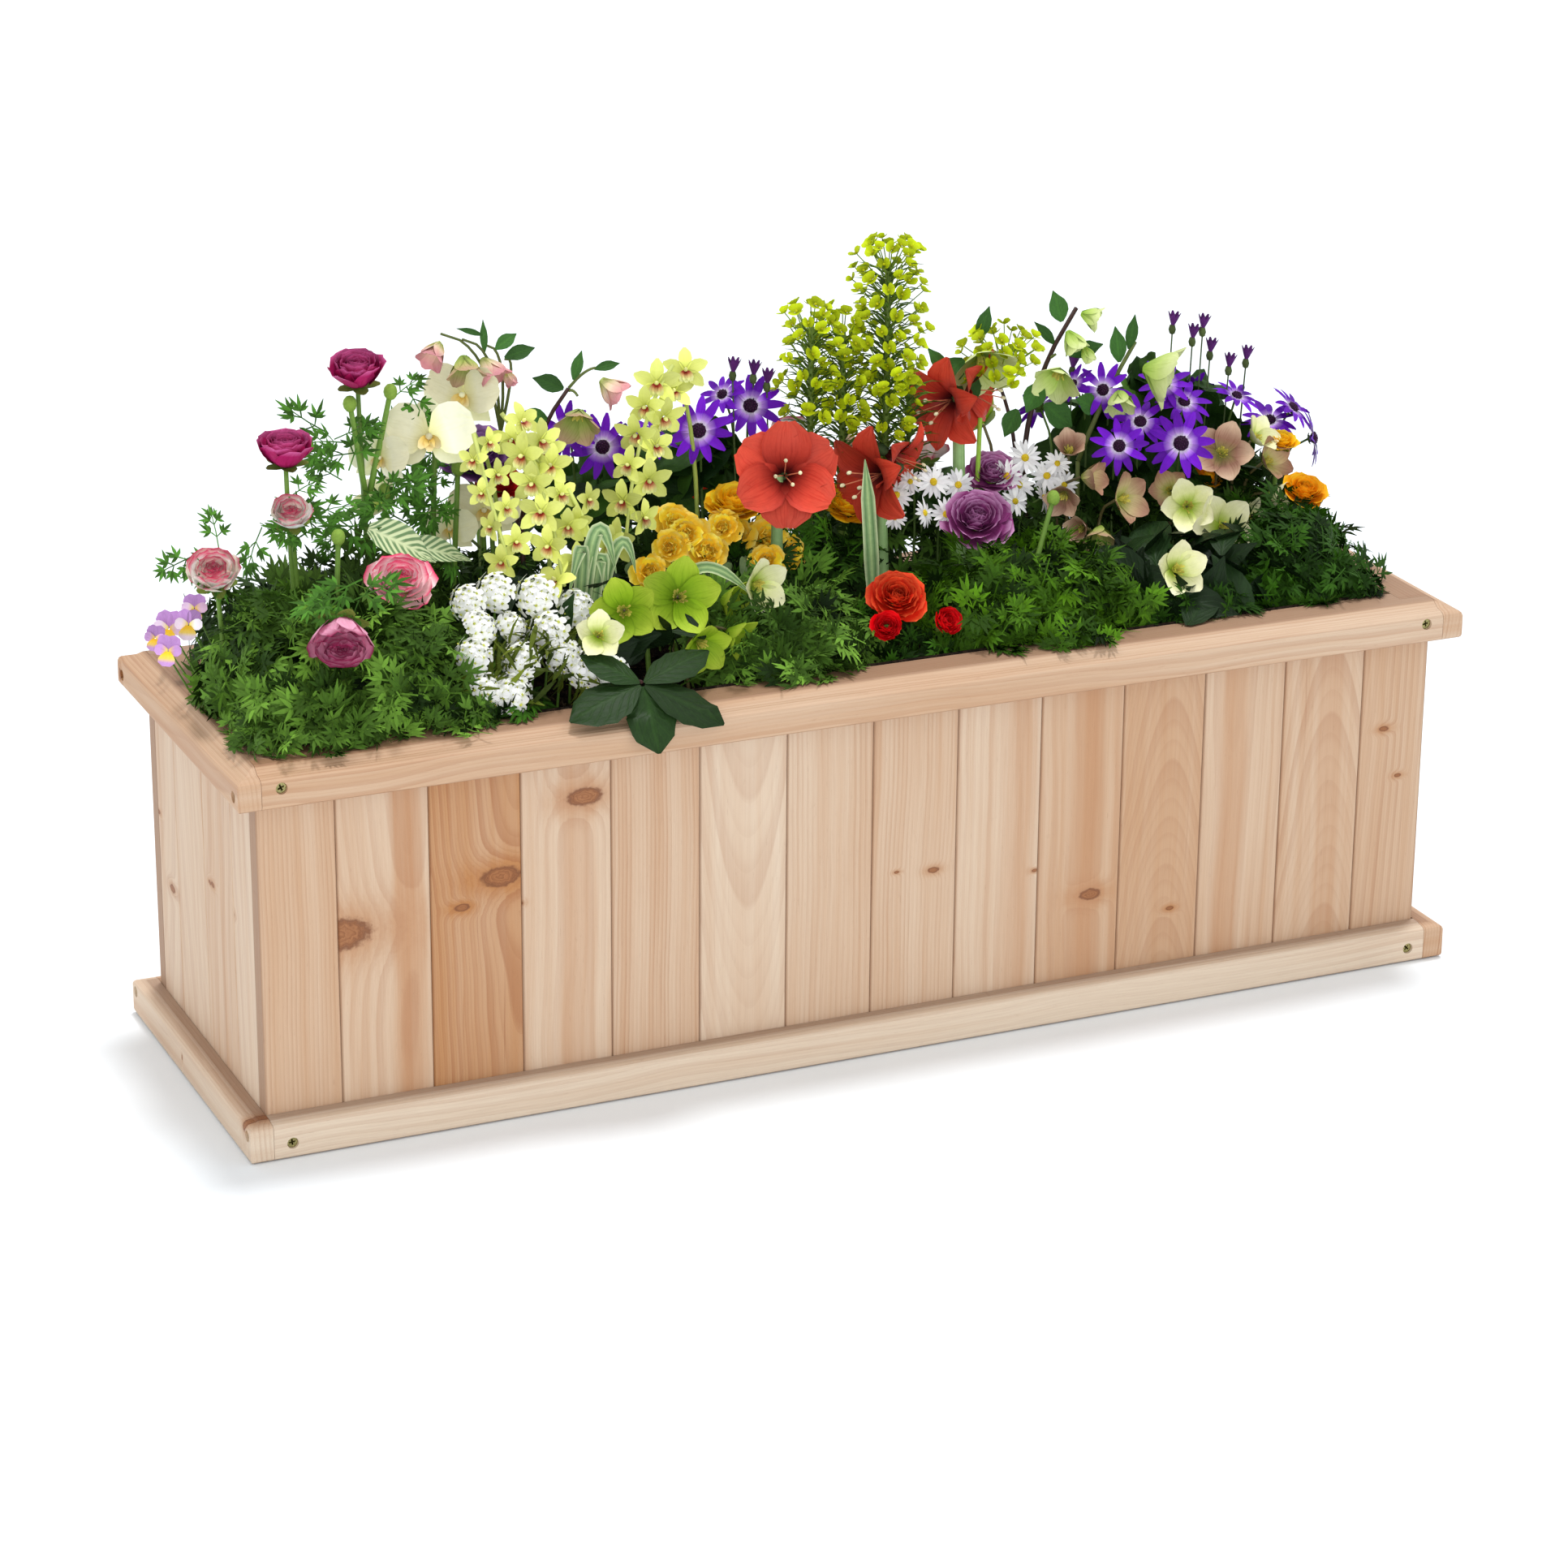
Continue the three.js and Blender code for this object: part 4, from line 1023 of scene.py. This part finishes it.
def plant_flowers():
    """Every flower of the plan goes into its species' piece."""
    kinds = [Bunch(name, finish, slot="petals") for name, finish in (
        ("ranunculus_flowers", PETAL), ("violet_daisies", PETAL), ("flower_centres", PETAL),
        ("hellebore_flowers", PETAL), ("moth_orchids", WAX_PETAL), ("boat_orchid_sprays", WAX_PETAL),
        ("amaryllis_flowers", SATIN_PETAL), ("candytuft_heads", PETAL), ("spurge_spires", LEAF),
        ("yellow_rosettes", PETAL), ("violas", PETAL), ("white_star_flowers", PETAL))]
    bowls, rays, eyes, cups, moths, sprays, trumpets, tufts, spurge, pompons, faces, stars = kinds
    for tints, x, y, z, size, facing in RANUNCULUS_PLAN:
        cupped = tints in (BURGUNDY, WHITE_PINK, STREAKED, RED)
        flower = (x, y, z), size * (1.12 if cupped else 1.0), facing
        ranunculus(bowls, flower, tints, 50 if size > 40 else 34, 0.62 if cupped else 0.9,
                   curl=0.55 if cupped else 1.0, hollow={RED: 0.45, SCARLET: 0.22}.get(tints, 0.0))
    for x, y, z, size in YELLOW_ROSETTES:
        flower = (x, y, z), size, (DRAW.normal() * 0.3 - 0.3, -0.8, 0.5)
        ranunculus(pompons, flower, YELLOW_TINTS, 24, 1.25, ruffle=0.10)
    for x, y, z, size, facing in DAISY_PLAN:
        daisy(rays, eyes, ((x, y, z), size, facing), VIOLET, 10 + int(DRAW.integers(0, 3)))
    for x, y, z, size in WHITE_STARS:
        flower = (x, y, z), size, (DRAW.normal() * 0.4 - 0.2, -0.8, 0.4)
        daisy(stars, eyes, flower, ((244, 244, 248), (250, 250, 252)), 17, (214, 176, 40), 0.13)
    bud = petals(np.arange(7) * 0.9, 1.15, 0.1, 12, 4, TONGUE, 3, 0.4, 1.2, 3)
    for x, y, z in DAISY_BUDS:
        rays.add(at(bud, (x, y, z), (0.05, -0.1, 1)), (92, 40, 110))
        FLOWER_GREEN.add(at(beads(3.2, 1.5, 5, 7), (x, y, z), UP), (78, 92, 52), ring=True)
        stem((x, y, z - 3), (x * 0.98, y * 0.9, 380), radius=0.8, tint=(70, 88, 46))
    for tints, x, y, z, size, facing, openness in HELLEBORE_PLAN:
        hellebore(cups, ((x, y, z), size, facing), tints, openness, stalk=z < 430)
    for x, y, z, size, facing in MOTH_PLAN:
        moth_orchid(moths, ((x, y, z), size, facing))
    for start, middle, end, count, size in SPRAYS:
        ends = np.array((start, middle, end), float)
        for number, place in enumerate(curve(*ends, (np.arange(count) + 0.5)[:, None] / count)):
            side = (-1) ** number
            facing = np.array(TO_THE_FRONT) + (side * 0.5, 0, -0.25) + DRAW.normal(size=3) * 0.28
            place = place + (side * size * 0.30, -size * 0.25, 0)
            boat_orchid(sprays, (place, size * DRAW.uniform(0.85, 1.1), facing))
        sprays.add(tubes(*(ends + (-4.0, -9.0, 3.0)), 1.8, 9, 6), (206, 216, 120), ring=True)
    for number, (x, y, z, size, facing, openness, wide) in enumerate(AMARYLLIS_PLAN):
        trumpet(trumpets, ((x, y, z), size, facing), openness, 0.5 + number, wide)
    for place in CANDYTUFT_PLAN:
        dome_of_florets(tufts, eyes, (place, DRAW.uniform(31, 38), (-0.25 + DRAW.normal() * 0.3, -0.75, 0.5)))
    for foot, top, radius, count in SPURGE_PLAN:
        spurge_spire(spurge, eyes, foot, top, radius, count)
    for x, y, z, size, lower in VIOLAS:
        viola(faces, ((x, y, z), size, (-0.5 + DRAW.normal() * 0.15, -0.75, 0.4)), (186, 140, 200), lower)
    return kinds


def plant_stems():
    """Shared stems that carry more than one flower, and the bare stalks of the plan."""
    dark, pale, olive, light, green = (62, 40, 34), (150, 186, 124), (104, 116, 60), (112, 130, 76), (120, 146, 62)
    level, twig_fork, orchid_fork = (0, 0, 0), (-226, 60, 470), (-240, 64, 420)
    for end, foot, bow, radius, tint in (
            (twig_fork, (-205, 50, 290), (6, 0, 0), 2.2, dark),
            *[((x, 60, z), twig_fork, (14, 0, 34), 1.3, olive)
              for x, z in ((-273, 552), (-256, 546), (-238, 540), (-222, 527))],
            ((-172, 56, 500), (-214, 50, 400), (-10, 0, 20), 2.0, dark),
            ((-144, 60, 512), (-172, 56, 500), (2, 0, 10), 1.3, olive),
            ((-166, 52, 494), (-172, 56, 498), (0, 0, 4), 1.3, olive),
            ((-214, 50, 400), (-214, 40, FOOT), level, 2.4, dark),
            ((270, 70, 516), (222, 62, 372), (-26, 0, 10), 2.4, dark),
            ((222, 62, 372), (228, 50, FOOT), level, 2.8, dark),
            ((247, 60, 482), (246, 66, 478), level, 1.3, olive),
            ((318, 58, 486), (268, 56, 392), (-4, 0, 4), 2.2, olive),
            ((268, 56, 392), (262, 40, FOOT), level, 2.4, olive),
            ((196, 64, 470), (214, 58, 380), (10, 0, 0), 1.8, dark),
            ((90, 43, 574), (90, 44, FOOT), level, 3.2, green),
            ((57, 54, 520), (58, 54, FOOT), level, 3.2, green),
            ((28, 50, 530), (28, 50, FOOT), level, 3.2, green),
            ((158, 52, 436), (157, 40, FOOT), level, 6.2, pale),
            ((148, 66, 443), (158, 52, 432), (0, 0, 6), 3.2, pale),
            ((169, 68, 439), (158, 52, 432), (0, 0, 6), 3.2, pale),
            ((78, 24, 400), (80, 20, FOOT), level, 5.4, pale),
            ((68, 26, 407), (79, 26, 396), (0, 0, 6), 3.0, pale),
            ((91, 38, 408), (79, 26, 396), (0, 0, 6), 3.0, pale),
            ((-20, 4, 428), (-20, 6, FOOT), level, 5.6, pale),
            ((176, 50, 440), (172, 48, 300), level, 2.4, (150, 190, 70)),
            *[(end, foot, (-4, 0, 12), 1.3, light) for end, foot in (
                ((-291, 46, 470), orchid_fork), ((-253, 66, 496), orchid_fork), ((-330, 50, 458), (-291, 46, 470)),
                (orchid_fork, (-244, 60, 290)), ((-268, 64, 392), (-244, 60, 380)))]):
        stem(end, foot, bow, radius, tint)
    for end, foot in (((-384, -20, 429), (-397, -40, 300)), ((202, -30, 393), (163, -62, 320)),
                      ((-353, 38, 512), (-342, 40, 440)), ((-319, 44, 516), (-338, 42, 440)),
                      ((-326, 42, 440), (-330, 40, 290)), ((-284, 46, 474), (-292, 44, 290)),
                      ((-266, 46, 450), (-276, 44, 290))):
        stem(end, foot, radius=2.6, tint=(112, 148, 60))
        FLOWER_GREEN.add(at(beads(5.4, 1.2, 7, 9), end, UP), (126, 156, 66), ring=True)
    for start, *_ in SPRAYS[:3]:
        stem(start, (start[0] + 24, start[1] + 12, 290), (16, 0, 60), 2.0, (170, 188, 92))
    piece = Bunch("flower_stems", STEM)
    for foot, middle, end, radius, tint in ALL_STEMS:
        piece.add(tubes(foot, middle, end, radius, 10, 7), tint, ring=True, shade=0.1)
    return piece


STALK_LEAVES = [
    (-364, 38, 494), (-356, 40, 480), (-359, 40, 465), (-362, 38, 449), (-307, 44, 511), (-291, 44, 441),
    (-279, 46, 456), (-296, 44, 424), (-315, 42, 439), (-416, 14, 454), (-425, 10, 441), (-441, 8, 434),
    (-472, -2, 424), (-487, -10, 420), (-400, 10, 438), (-387, 4, 425), (-318, 44, 470), (-326, 44, 460),
    (-267, 46, 437), (-310, 30, 416), (-340, 30, 430), (-375, 24, 420), (-350, 34, 412), (-280, 36, 412),
    (-402, -96, 412), (-416, -98, 409), (-390, -92, 408),
]


def plant_leaves():
    """Mounds of cut leaves along the box, broad leaves under the daisies, and the leaves on the flower stalks."""
    draw = np.random.default_rng(46)
    cut = [fern_leaf(draw) for _ in range(5)]
    broad = [lobed_leaf(draw, lobes, depth) for lobes, depth in ((5, 0.14), (7, 0.10), (3, 0.16))]
    oval = [petals(0.0, 0.35, -0.8, 1.0, width, OVAL, 5, 0.22, 0, 0, 0.015) for width in (0.42, 0.5)]
    narrow = [petals(0.0, 0.2, -0.7, 1.0, 0.13, SPEAR, 3, 0.3), petals(0.0, 0.4, -1.0, 1.0, 0.11, SPEAR, 3, 0.3)]
    # Each pair of mound tints: the first is painted shade for the innermost leaves, the second the tint of the outer
    # leaves in full light.
    fresh, deep, bright = ((12, 30, 2), (126, 174, 64)), ((4, 18, 1), (66, 116, 22)), ((6, 22, 1), (98, 150, 24))
    back_green, shaded = ((6, 22, 2), (70, 104, 34)), ((8, 24, 3), (92, 126, 46))
    plate, low_plate, leather = ((12, 34, 8), (62, 96, 34)), ((10, 28, 6), (52, 84, 28)), ((8, 22, 8), (40, 64, 32))
    pieces = [Bunch(f"cut_leaves_{where}", LEAF) for where in ("left", "centre", "right", "far_right", "back")] + [
        Bunch("stalk_leaves", LEAF), Bunch("broad_leaves", LEAF), Bunch("leathery_leaves", GLOSS_LEAF),
        Bunch("narrow_leaves", LEAF)]
    left, centre, right, far_right, back, side_leaves, plates, leathery, blades = pieces

    for bunch, middle, radii, count, size, tints in (
            (left, (-430, -34, 312), (62, 84, 76), 330, 46, fresh),
            (left, (-362, -50, 314), (66, 72, 70), 330, 46, fresh),
            (left, (-300, -66, 302), (50, 58, 30), 80, 40, deep),
            (left, (-350, 30, 330), (92, 50, 62), 230, 50, shaded),
            (centre, (-46, -56, 306), (78, 62, 54), 280, 46, fresh),
            (centre, (-20, 30, 330), (110, 40, 46), 150, 46, deep),
            (right, (60, -46, 296), (48, 62, 24), 100, 36, deep),
            (right, (142, -50, 306), (64, 62, 52), 270, 46, bright),
            (right, (204, -46, 306), (62, 72, 52), 260, 46, bright),
            (far_right, (404, -16, 304), (66, 96, 50), 440, 44, deep),
            (far_right, (300, -56, 296), (70, 56, 28), 160, 42, deep),
            (left, (-436, -108, 312), (54, 28, 14), 60, 42, fresh),
            (left, (-334, -110, 309), (34, 26, 12), 30, 40, fresh),
            (centre, (-54, -108, 308), (34, 28, 12), 28, 42, fresh),
            (right, (178, -110, 308), (38, 30, 12), 34, 42, bright),
            (far_right, (444, -88, 308), (24, 32, 12), 30, 40, deep),
            *[(back, (x, 66, 320), (92, 46, 52), 110, 54, back_green) for x in (-390, -230, -70, 90, 250, 400)]):
        fill_mound(bunch, cut, middle, radii, count, size, tints, draw)

    places = np.repeat(np.array(STALK_LEAVES, float), 2, 0) + draw.normal(size=(2 * len(STALK_LEAVES), 3)) * 5
    frames = np.stack([facing_frame(np.array([-0.3, -0.7, 0.5]) + draw.normal(size=3) * 0.35,
                                    draw.uniform(0, 6.3)) for _ in places])
    for number, template in enumerate(cut):
        mine = np.arange(len(places)) % 5 == number
        side_leaves.add(copies(template, places[mine], frames[mine], draw.uniform(34, 46, mine.sum())),
                        (74, 122, 42), shade=0.25)

    for bunch, leaves, middle, radii, count, size, tints in (
            (plates, broad, (-60, 84, 396), (56, 16, 54), 34, 50, plate),
            (plates, broad, (350, 86, 376), (96, 14, 74), 64, 54, plate),
            (plates, broad, (350, 56, 350), (90, 20, 40), 40, 48, low_plate),
            (plates, broad, (-150, 84, 392), (50, 14, 46), 26, 46, plate),
            (plates, broad, (150, 84, 350), (80, 18, 36), 40, 46, low_plate),
            (plates, broad, (-96, 10, 346), (60, 30, 26), 26, 30, ((58, 76, 46), (112, 132, 92))),
            (leathery, oval, (320, -40, 310), (90, 54, 34), 70, 60, leather),
            (leathery, oval, (-190, -20, 330), (80, 70, 40), 60, 56, leather),
            (blades, narrow, (-262, -82, 318), (62, 34, 46), 240, 30, ((36, 50, 10), (116, 130, 40)))):
        fill_mound(bunch, leaves, middle, radii, count, size, tints, draw)
    for foot, top, count, length in (((90, 44, 380), (90, 43, 570), 220, 28), ((58, 54, 370), (57, 54, 515), 170, 26),
                                     ((28, 50, 370), (28, 50, 525), 170, 26),
                                     ((118, 56, 380), (114, 56, 470), 120, 28)):
        whorled_leaves(blades, foot, top, count, length, (92, 124, 44))
    return pieces


TWIG_LEAVES = [  # foot, tip, width
    ((-238, 60, 534), (-239, 60, 560), 6), ((-230, 58, 536), (-212, 60, 546), 11),
    ((-222, 60, 528), (-198, 58, 534), 12), ((-240, 58, 548), (-262, 56, 556), 5),
    ((-176, 56, 500), (-200, 60, 510), 14), ((-168, 56, 506), (-160, 58, 528), 9),
    ((-190, 54, 478), (-214, 52, 486), 12), ((-150, 58, 512), (-128, 60, 514), 8),
    ((-200, 50, 440), (-184, 46, 458), 12), ((256, 68, 506), (248, 70, 532), 16), ((250, 68, 488), (232, 70, 508), 9),
    ((262, 66, 478), (290, 60, 486), 14), ((238, 66, 458), (222, 60, 436), 18), ((240, 64, 440), (264, 60, 420), 22),
    ((304, 58, 470), (300, 60, 500), 14), ((312, 58, 480), (318, 60, 508), 10), ((282, 56, 434), (262, 52, 446), 18),
    ((290, 56, 440), (312, 50, 426), 18), ((150, 60, 476), (132, 58, 500), 12), ((166, 62, 486), (140, 56, 468), 20),
    ((172, 60, 478), (160, 54, 446), 24), ((180, 64, 500), (190, 66, 526), 12), ((214, 60, 440), (200, 54, 420), 16),
    ((360, 40, 380), (330, 34, 396), 26), ((372, 20, 330), (350, 6, 306), 26), ((300, 0, 330), (330, -14, 322), 20),
    ((-398, 20, 372), (-428, 14, 352), 14),
]


def plant_single_leaves():
    """The dark five-part leaf over the rim, the striped leaves, the strap leaves and the leaves of the tall stems."""
    dark = Bunch("palmate_leaf", GLOSS_LEAF)
    hub = np.array([-190.0, -136.0, 326.0])
    for tip, wide in (((-250, -146, 309), 40), ((-228, -112, 345), 26), ((-128, -112, 336), 30),
                      ((-136, -160, 296), 36), ((-190, -168, 284), 38)):
        length, axes = leaf_frame(hub, tip, (-0.1, -0.45, 1.0))
        leaflet = petals(0.0, 0.10, -0.22, length, wide, SAW, 9, -0.12, 2, 0, 0.012)
        leaflet[..., 1] *= 1 + 0.05 * np.sin(np.arange(10) * 2.9)[None, :, None]
        dark.add(leaflet @ axes + hub, (34, 58, 24), shade=0.15)
    dark.add(tubes((-192, -90, FOOT), (-194, -110, 330), (-190, -135, 327), 1.8, 8, 6), (60, 34, 34), ring=True)

    striped = Bunch("striped_leaves", striped_skin())
    for foot, tip, wide, top in (((-352, 6, 424), (-304, -8, 396), 30, (0.2, -0.8, 0.6)),
                                 ((-318, 20, 402), (-268, 14, 386), 24, (0.1, -0.6, 0.8))):
        add_blade(striped, foot, tip, wide, top, (96, 120, 88), (0.3, 0.85, 1.0, 0.95, 0.7, 0.3, 0.05))
    straps = Bunch("strap_leaves", LEAF)
    for start, middle, end, wide in (
            ((-203, -46, 336), (-192, -46, 474), (-176, -50, 384), 12),
            ((-207, -46, 336), (-194, -48, 456), (-216, -54, 372), 11),
            ((-197, -48, 334), (-186, -48, 446), (-186, -54, 362), 12),
            ((-194, -46, 336), (-170, -46, 450), (-160, -50, 382), 10),
            ((-126, -54, 368), (-110, -62, 404), (-72, -70, 358), 9),
            ((54, -14, 330), (48, -20, 390), (40, -26, 442), 12)):
        strap(straps, start, middle, end, wide)
    twigs = Bunch("tall_stem_leaves", LEAF)
    for foot, tip, wide in TWIG_LEAVES:
        add_blade(twigs, foot, tip, wide, (-0.3, -0.8, 0.5), (62, 104, 48), OVAL)
    return [dark, striped, straps, twigs]


soil_piece = soil_block()
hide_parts("potting_soil", "planting_left", "planting_middle", "planting_right")
for planted in plant_flowers() + plant_leaves() + plant_single_leaves() + [plant_stems(), FLOWER_GREEN]:
    planted.build()


# ---------------------------------------------------------------- screws

def screw_skin():
    """Yellow zinc plate: brass yellow with greenish patches and fine turning marks, multiplied by the mesh's tint,
    which paints shade into the cross recess.
    """
    finish, tree, shader = material("yellow_zinc_plate", Metallic=1.0)
    place = object_place(tree)
    patch = noise(tree, place, 900.0, 3.0)
    tint = mixed(tree, patch.ramp(0.35, 0.65), colour(176, 164, 112), colour(132, 130, 84))
    # the tint attribute paints shade into the cross recess
    tint = mixed(tree, 1.0, tint, attribute(tree, "tint"), "MULTIPLY")
    tree.links.new((patch * 0.25 + 0.25).socket, shader.inputs["Roughness"])
    finished(tree, shader, tint, noise(tree, place, 3000.0), 0.00005, 0.5)
    return finish


ZINC = screw_skin()
SLOT_HALF, SLOT_REACH = 0.62, 2.45


def wood_screw(name, place, facing):
    """A countersunk screw: its profile turned about the axis, with a cross pressed into the head and a cut thread.

    The cross is where either of two crossed slots covers a point of the head, which drops by the slot's depth and is
    tinted dark there as painted shade.
    """
    turn = np.arange(48) * 2 * np.pi / 48
    face = [(r, 0.0) for r in (0.02, 0.35, 0.6, 0.9, 1.3, 1.7, 2.1, 2.4, 2.7, 3.2, 3.8, 4.1)]
    thread = [(2.0 - 0.45 * (step % 2), -6.0 - 0.9 * step) for step in range(22)]
    profile = np.array(face + [(4.2, -0.12), (4.2, -0.35), (2.0, -2.4), (2.0, -5.0)] + thread + [
        (1.0, -26.6), (0.02, -28.0)])
    reach, height = profile[:, :1], profile[:, 1:]
    across, up = reach * np.cos(turn), reach * np.sin(turn)
    wide, high = np.abs(across), np.abs(up)
    slot = ((wide < SLOT_HALF) & (high < SLOT_REACH)) | ((high < SLOT_HALF) & (wide < SLOT_REACH))
    slot &= height > -0.05
    fall = np.where(slot, -1.5 + 0.35 * np.hypot(across, up) / 2.4, 0)
    grid = np.stack([across, up, height + fall], -1)[None, :, ::-1]
    # painted shade: the cross recess is tinted dark for the shade that falls in it, and the rest of the screw keeps
    # the plate's own colour
    shade = np.where(slot[None, :, ::-1, None], (70, 64, 50), (255, 255, 255))
    screw = Bunch(name, ZINC, body="box", slot="screw_zinc")
    screw.add(at(grid, place, facing, 0.6 + len(name) * 0.1 + place[0]), shade, ring=True, shade=0)
    screw.build()


HALF_LENGTH, HALF_DEPTH, SUNK = 508, 153, 1.9
for side, y in (("front", -1), ("back", 1)):
    for hand, x in (("left", -1), ("right", 1)):
        for name, place, facing in (
                (f"cap_screw_{side}_{hand}", (x * 475, y * (HALF_DEPTH - SUNK), 291), (0, y, 0)),
                (f"skirt_screw_{side}_{hand}", (x * 475.5, y * (HALF_DEPTH - SUNK), 12), (0, y, 0)),
                (f"cap_end_screw_{hand}_{side}", (x * (HALF_LENGTH - SUNK), y * 142, 285.5), (x, 0, 0)),
                (f"skirt_end_screw_{hand}_{side}", (x * (HALF_LENGTH - SUNK), y * 145, 20), (x, 0, 0))):
            wood_screw(name, place, facing)


# ---------------------------------------------------------------- camera, light and floor, in metres

def added(name, data, place=(0, 0, 0), rotation=None):
    """A new object in the scene."""
    thing = bpy.data.objects.new(name, data)
    thing.location = place
    if rotation is not None:
        thing.rotation_mode = "QUATERNION"
        thing.rotation_quaternion = rotation
    bpy.context.scene.collection.objects.link(thing)
    return thing


def lamp(name, kind, place, aim, power, **settings):
    light = bpy.data.lights.new(name, kind)
    light.energy = power
    for key, value in settings.items():
        setattr(light, key, value)
    added(name, light, place, (Vector(aim) - Vector(place)).to_track_quat("-Z", "Y"))


def set_stage():
    """A pale seamless floor, soft light from above and behind, a broad low fill, and the camera."""
    scene = bpy.context.scene
    scene.view_settings.view_transform = "Standard"
    lens = bpy.data.cameras.new("camera")
    lens.lens, lens.sensor_width, lens.clip_end = 103.99, 36.0, 60.0
    forward, roll = Vector((0.3803286, 0.854232, -0.3544542)), math.radians(0.46)
    scene.camera = added("camera", lens, (-1.3765, -3.0593, 1.4431),
                         Quaternion(forward, -roll) @ forward.to_track_quat("-Z", "Y"))

    paper, tree, shader = material("floor_paper", Roughness=0.9, Specular_IOR_Level=0.0)
    cloud = noise(tree, object_place(tree), 6.0, 3.0).ramp(0.3, 0.7)
    tone = mixed(tree, cloud, (0.88, 0.93, 0.97, 1), (0.90, 0.95, 0.99, 1))
    tree.links.new(tone.socket, shader.inputs["Base Color"])
    sheet = bpy.data.meshes.new("studio_floor")
    reach, level = 30.0, -0.0005
    sheet.from_pydata([(x * reach, y * reach, level) for x, y in ((-1, -1), (1, -1), (1, 1), (-1, 1))], [],
                      [(0, 1, 2, 3)])
    sheet.materials.append(paper)
    added("studio_floor", sheet)

    world = bpy.data.worlds.new("studio")
    scene.world = world
    world.use_nodes = True
    sky = world.node_tree.nodes["Background"]
    sky.inputs["Color"].default_value, sky.inputs["Strength"].default_value = (1, 1, 1, 1), 0.86
    lamp("overhead_key", "SUN", (0.42, 0.46, 3.0), (0, 0, 0), 1.5, angle=math.radians(10))
    lamp("front_fill", "AREA", (-2.1, -3.7, 1.0), (0, 0, 0.25), 34, shape="SQUARE", size=2.0, use_shadow=False)


set_stage()
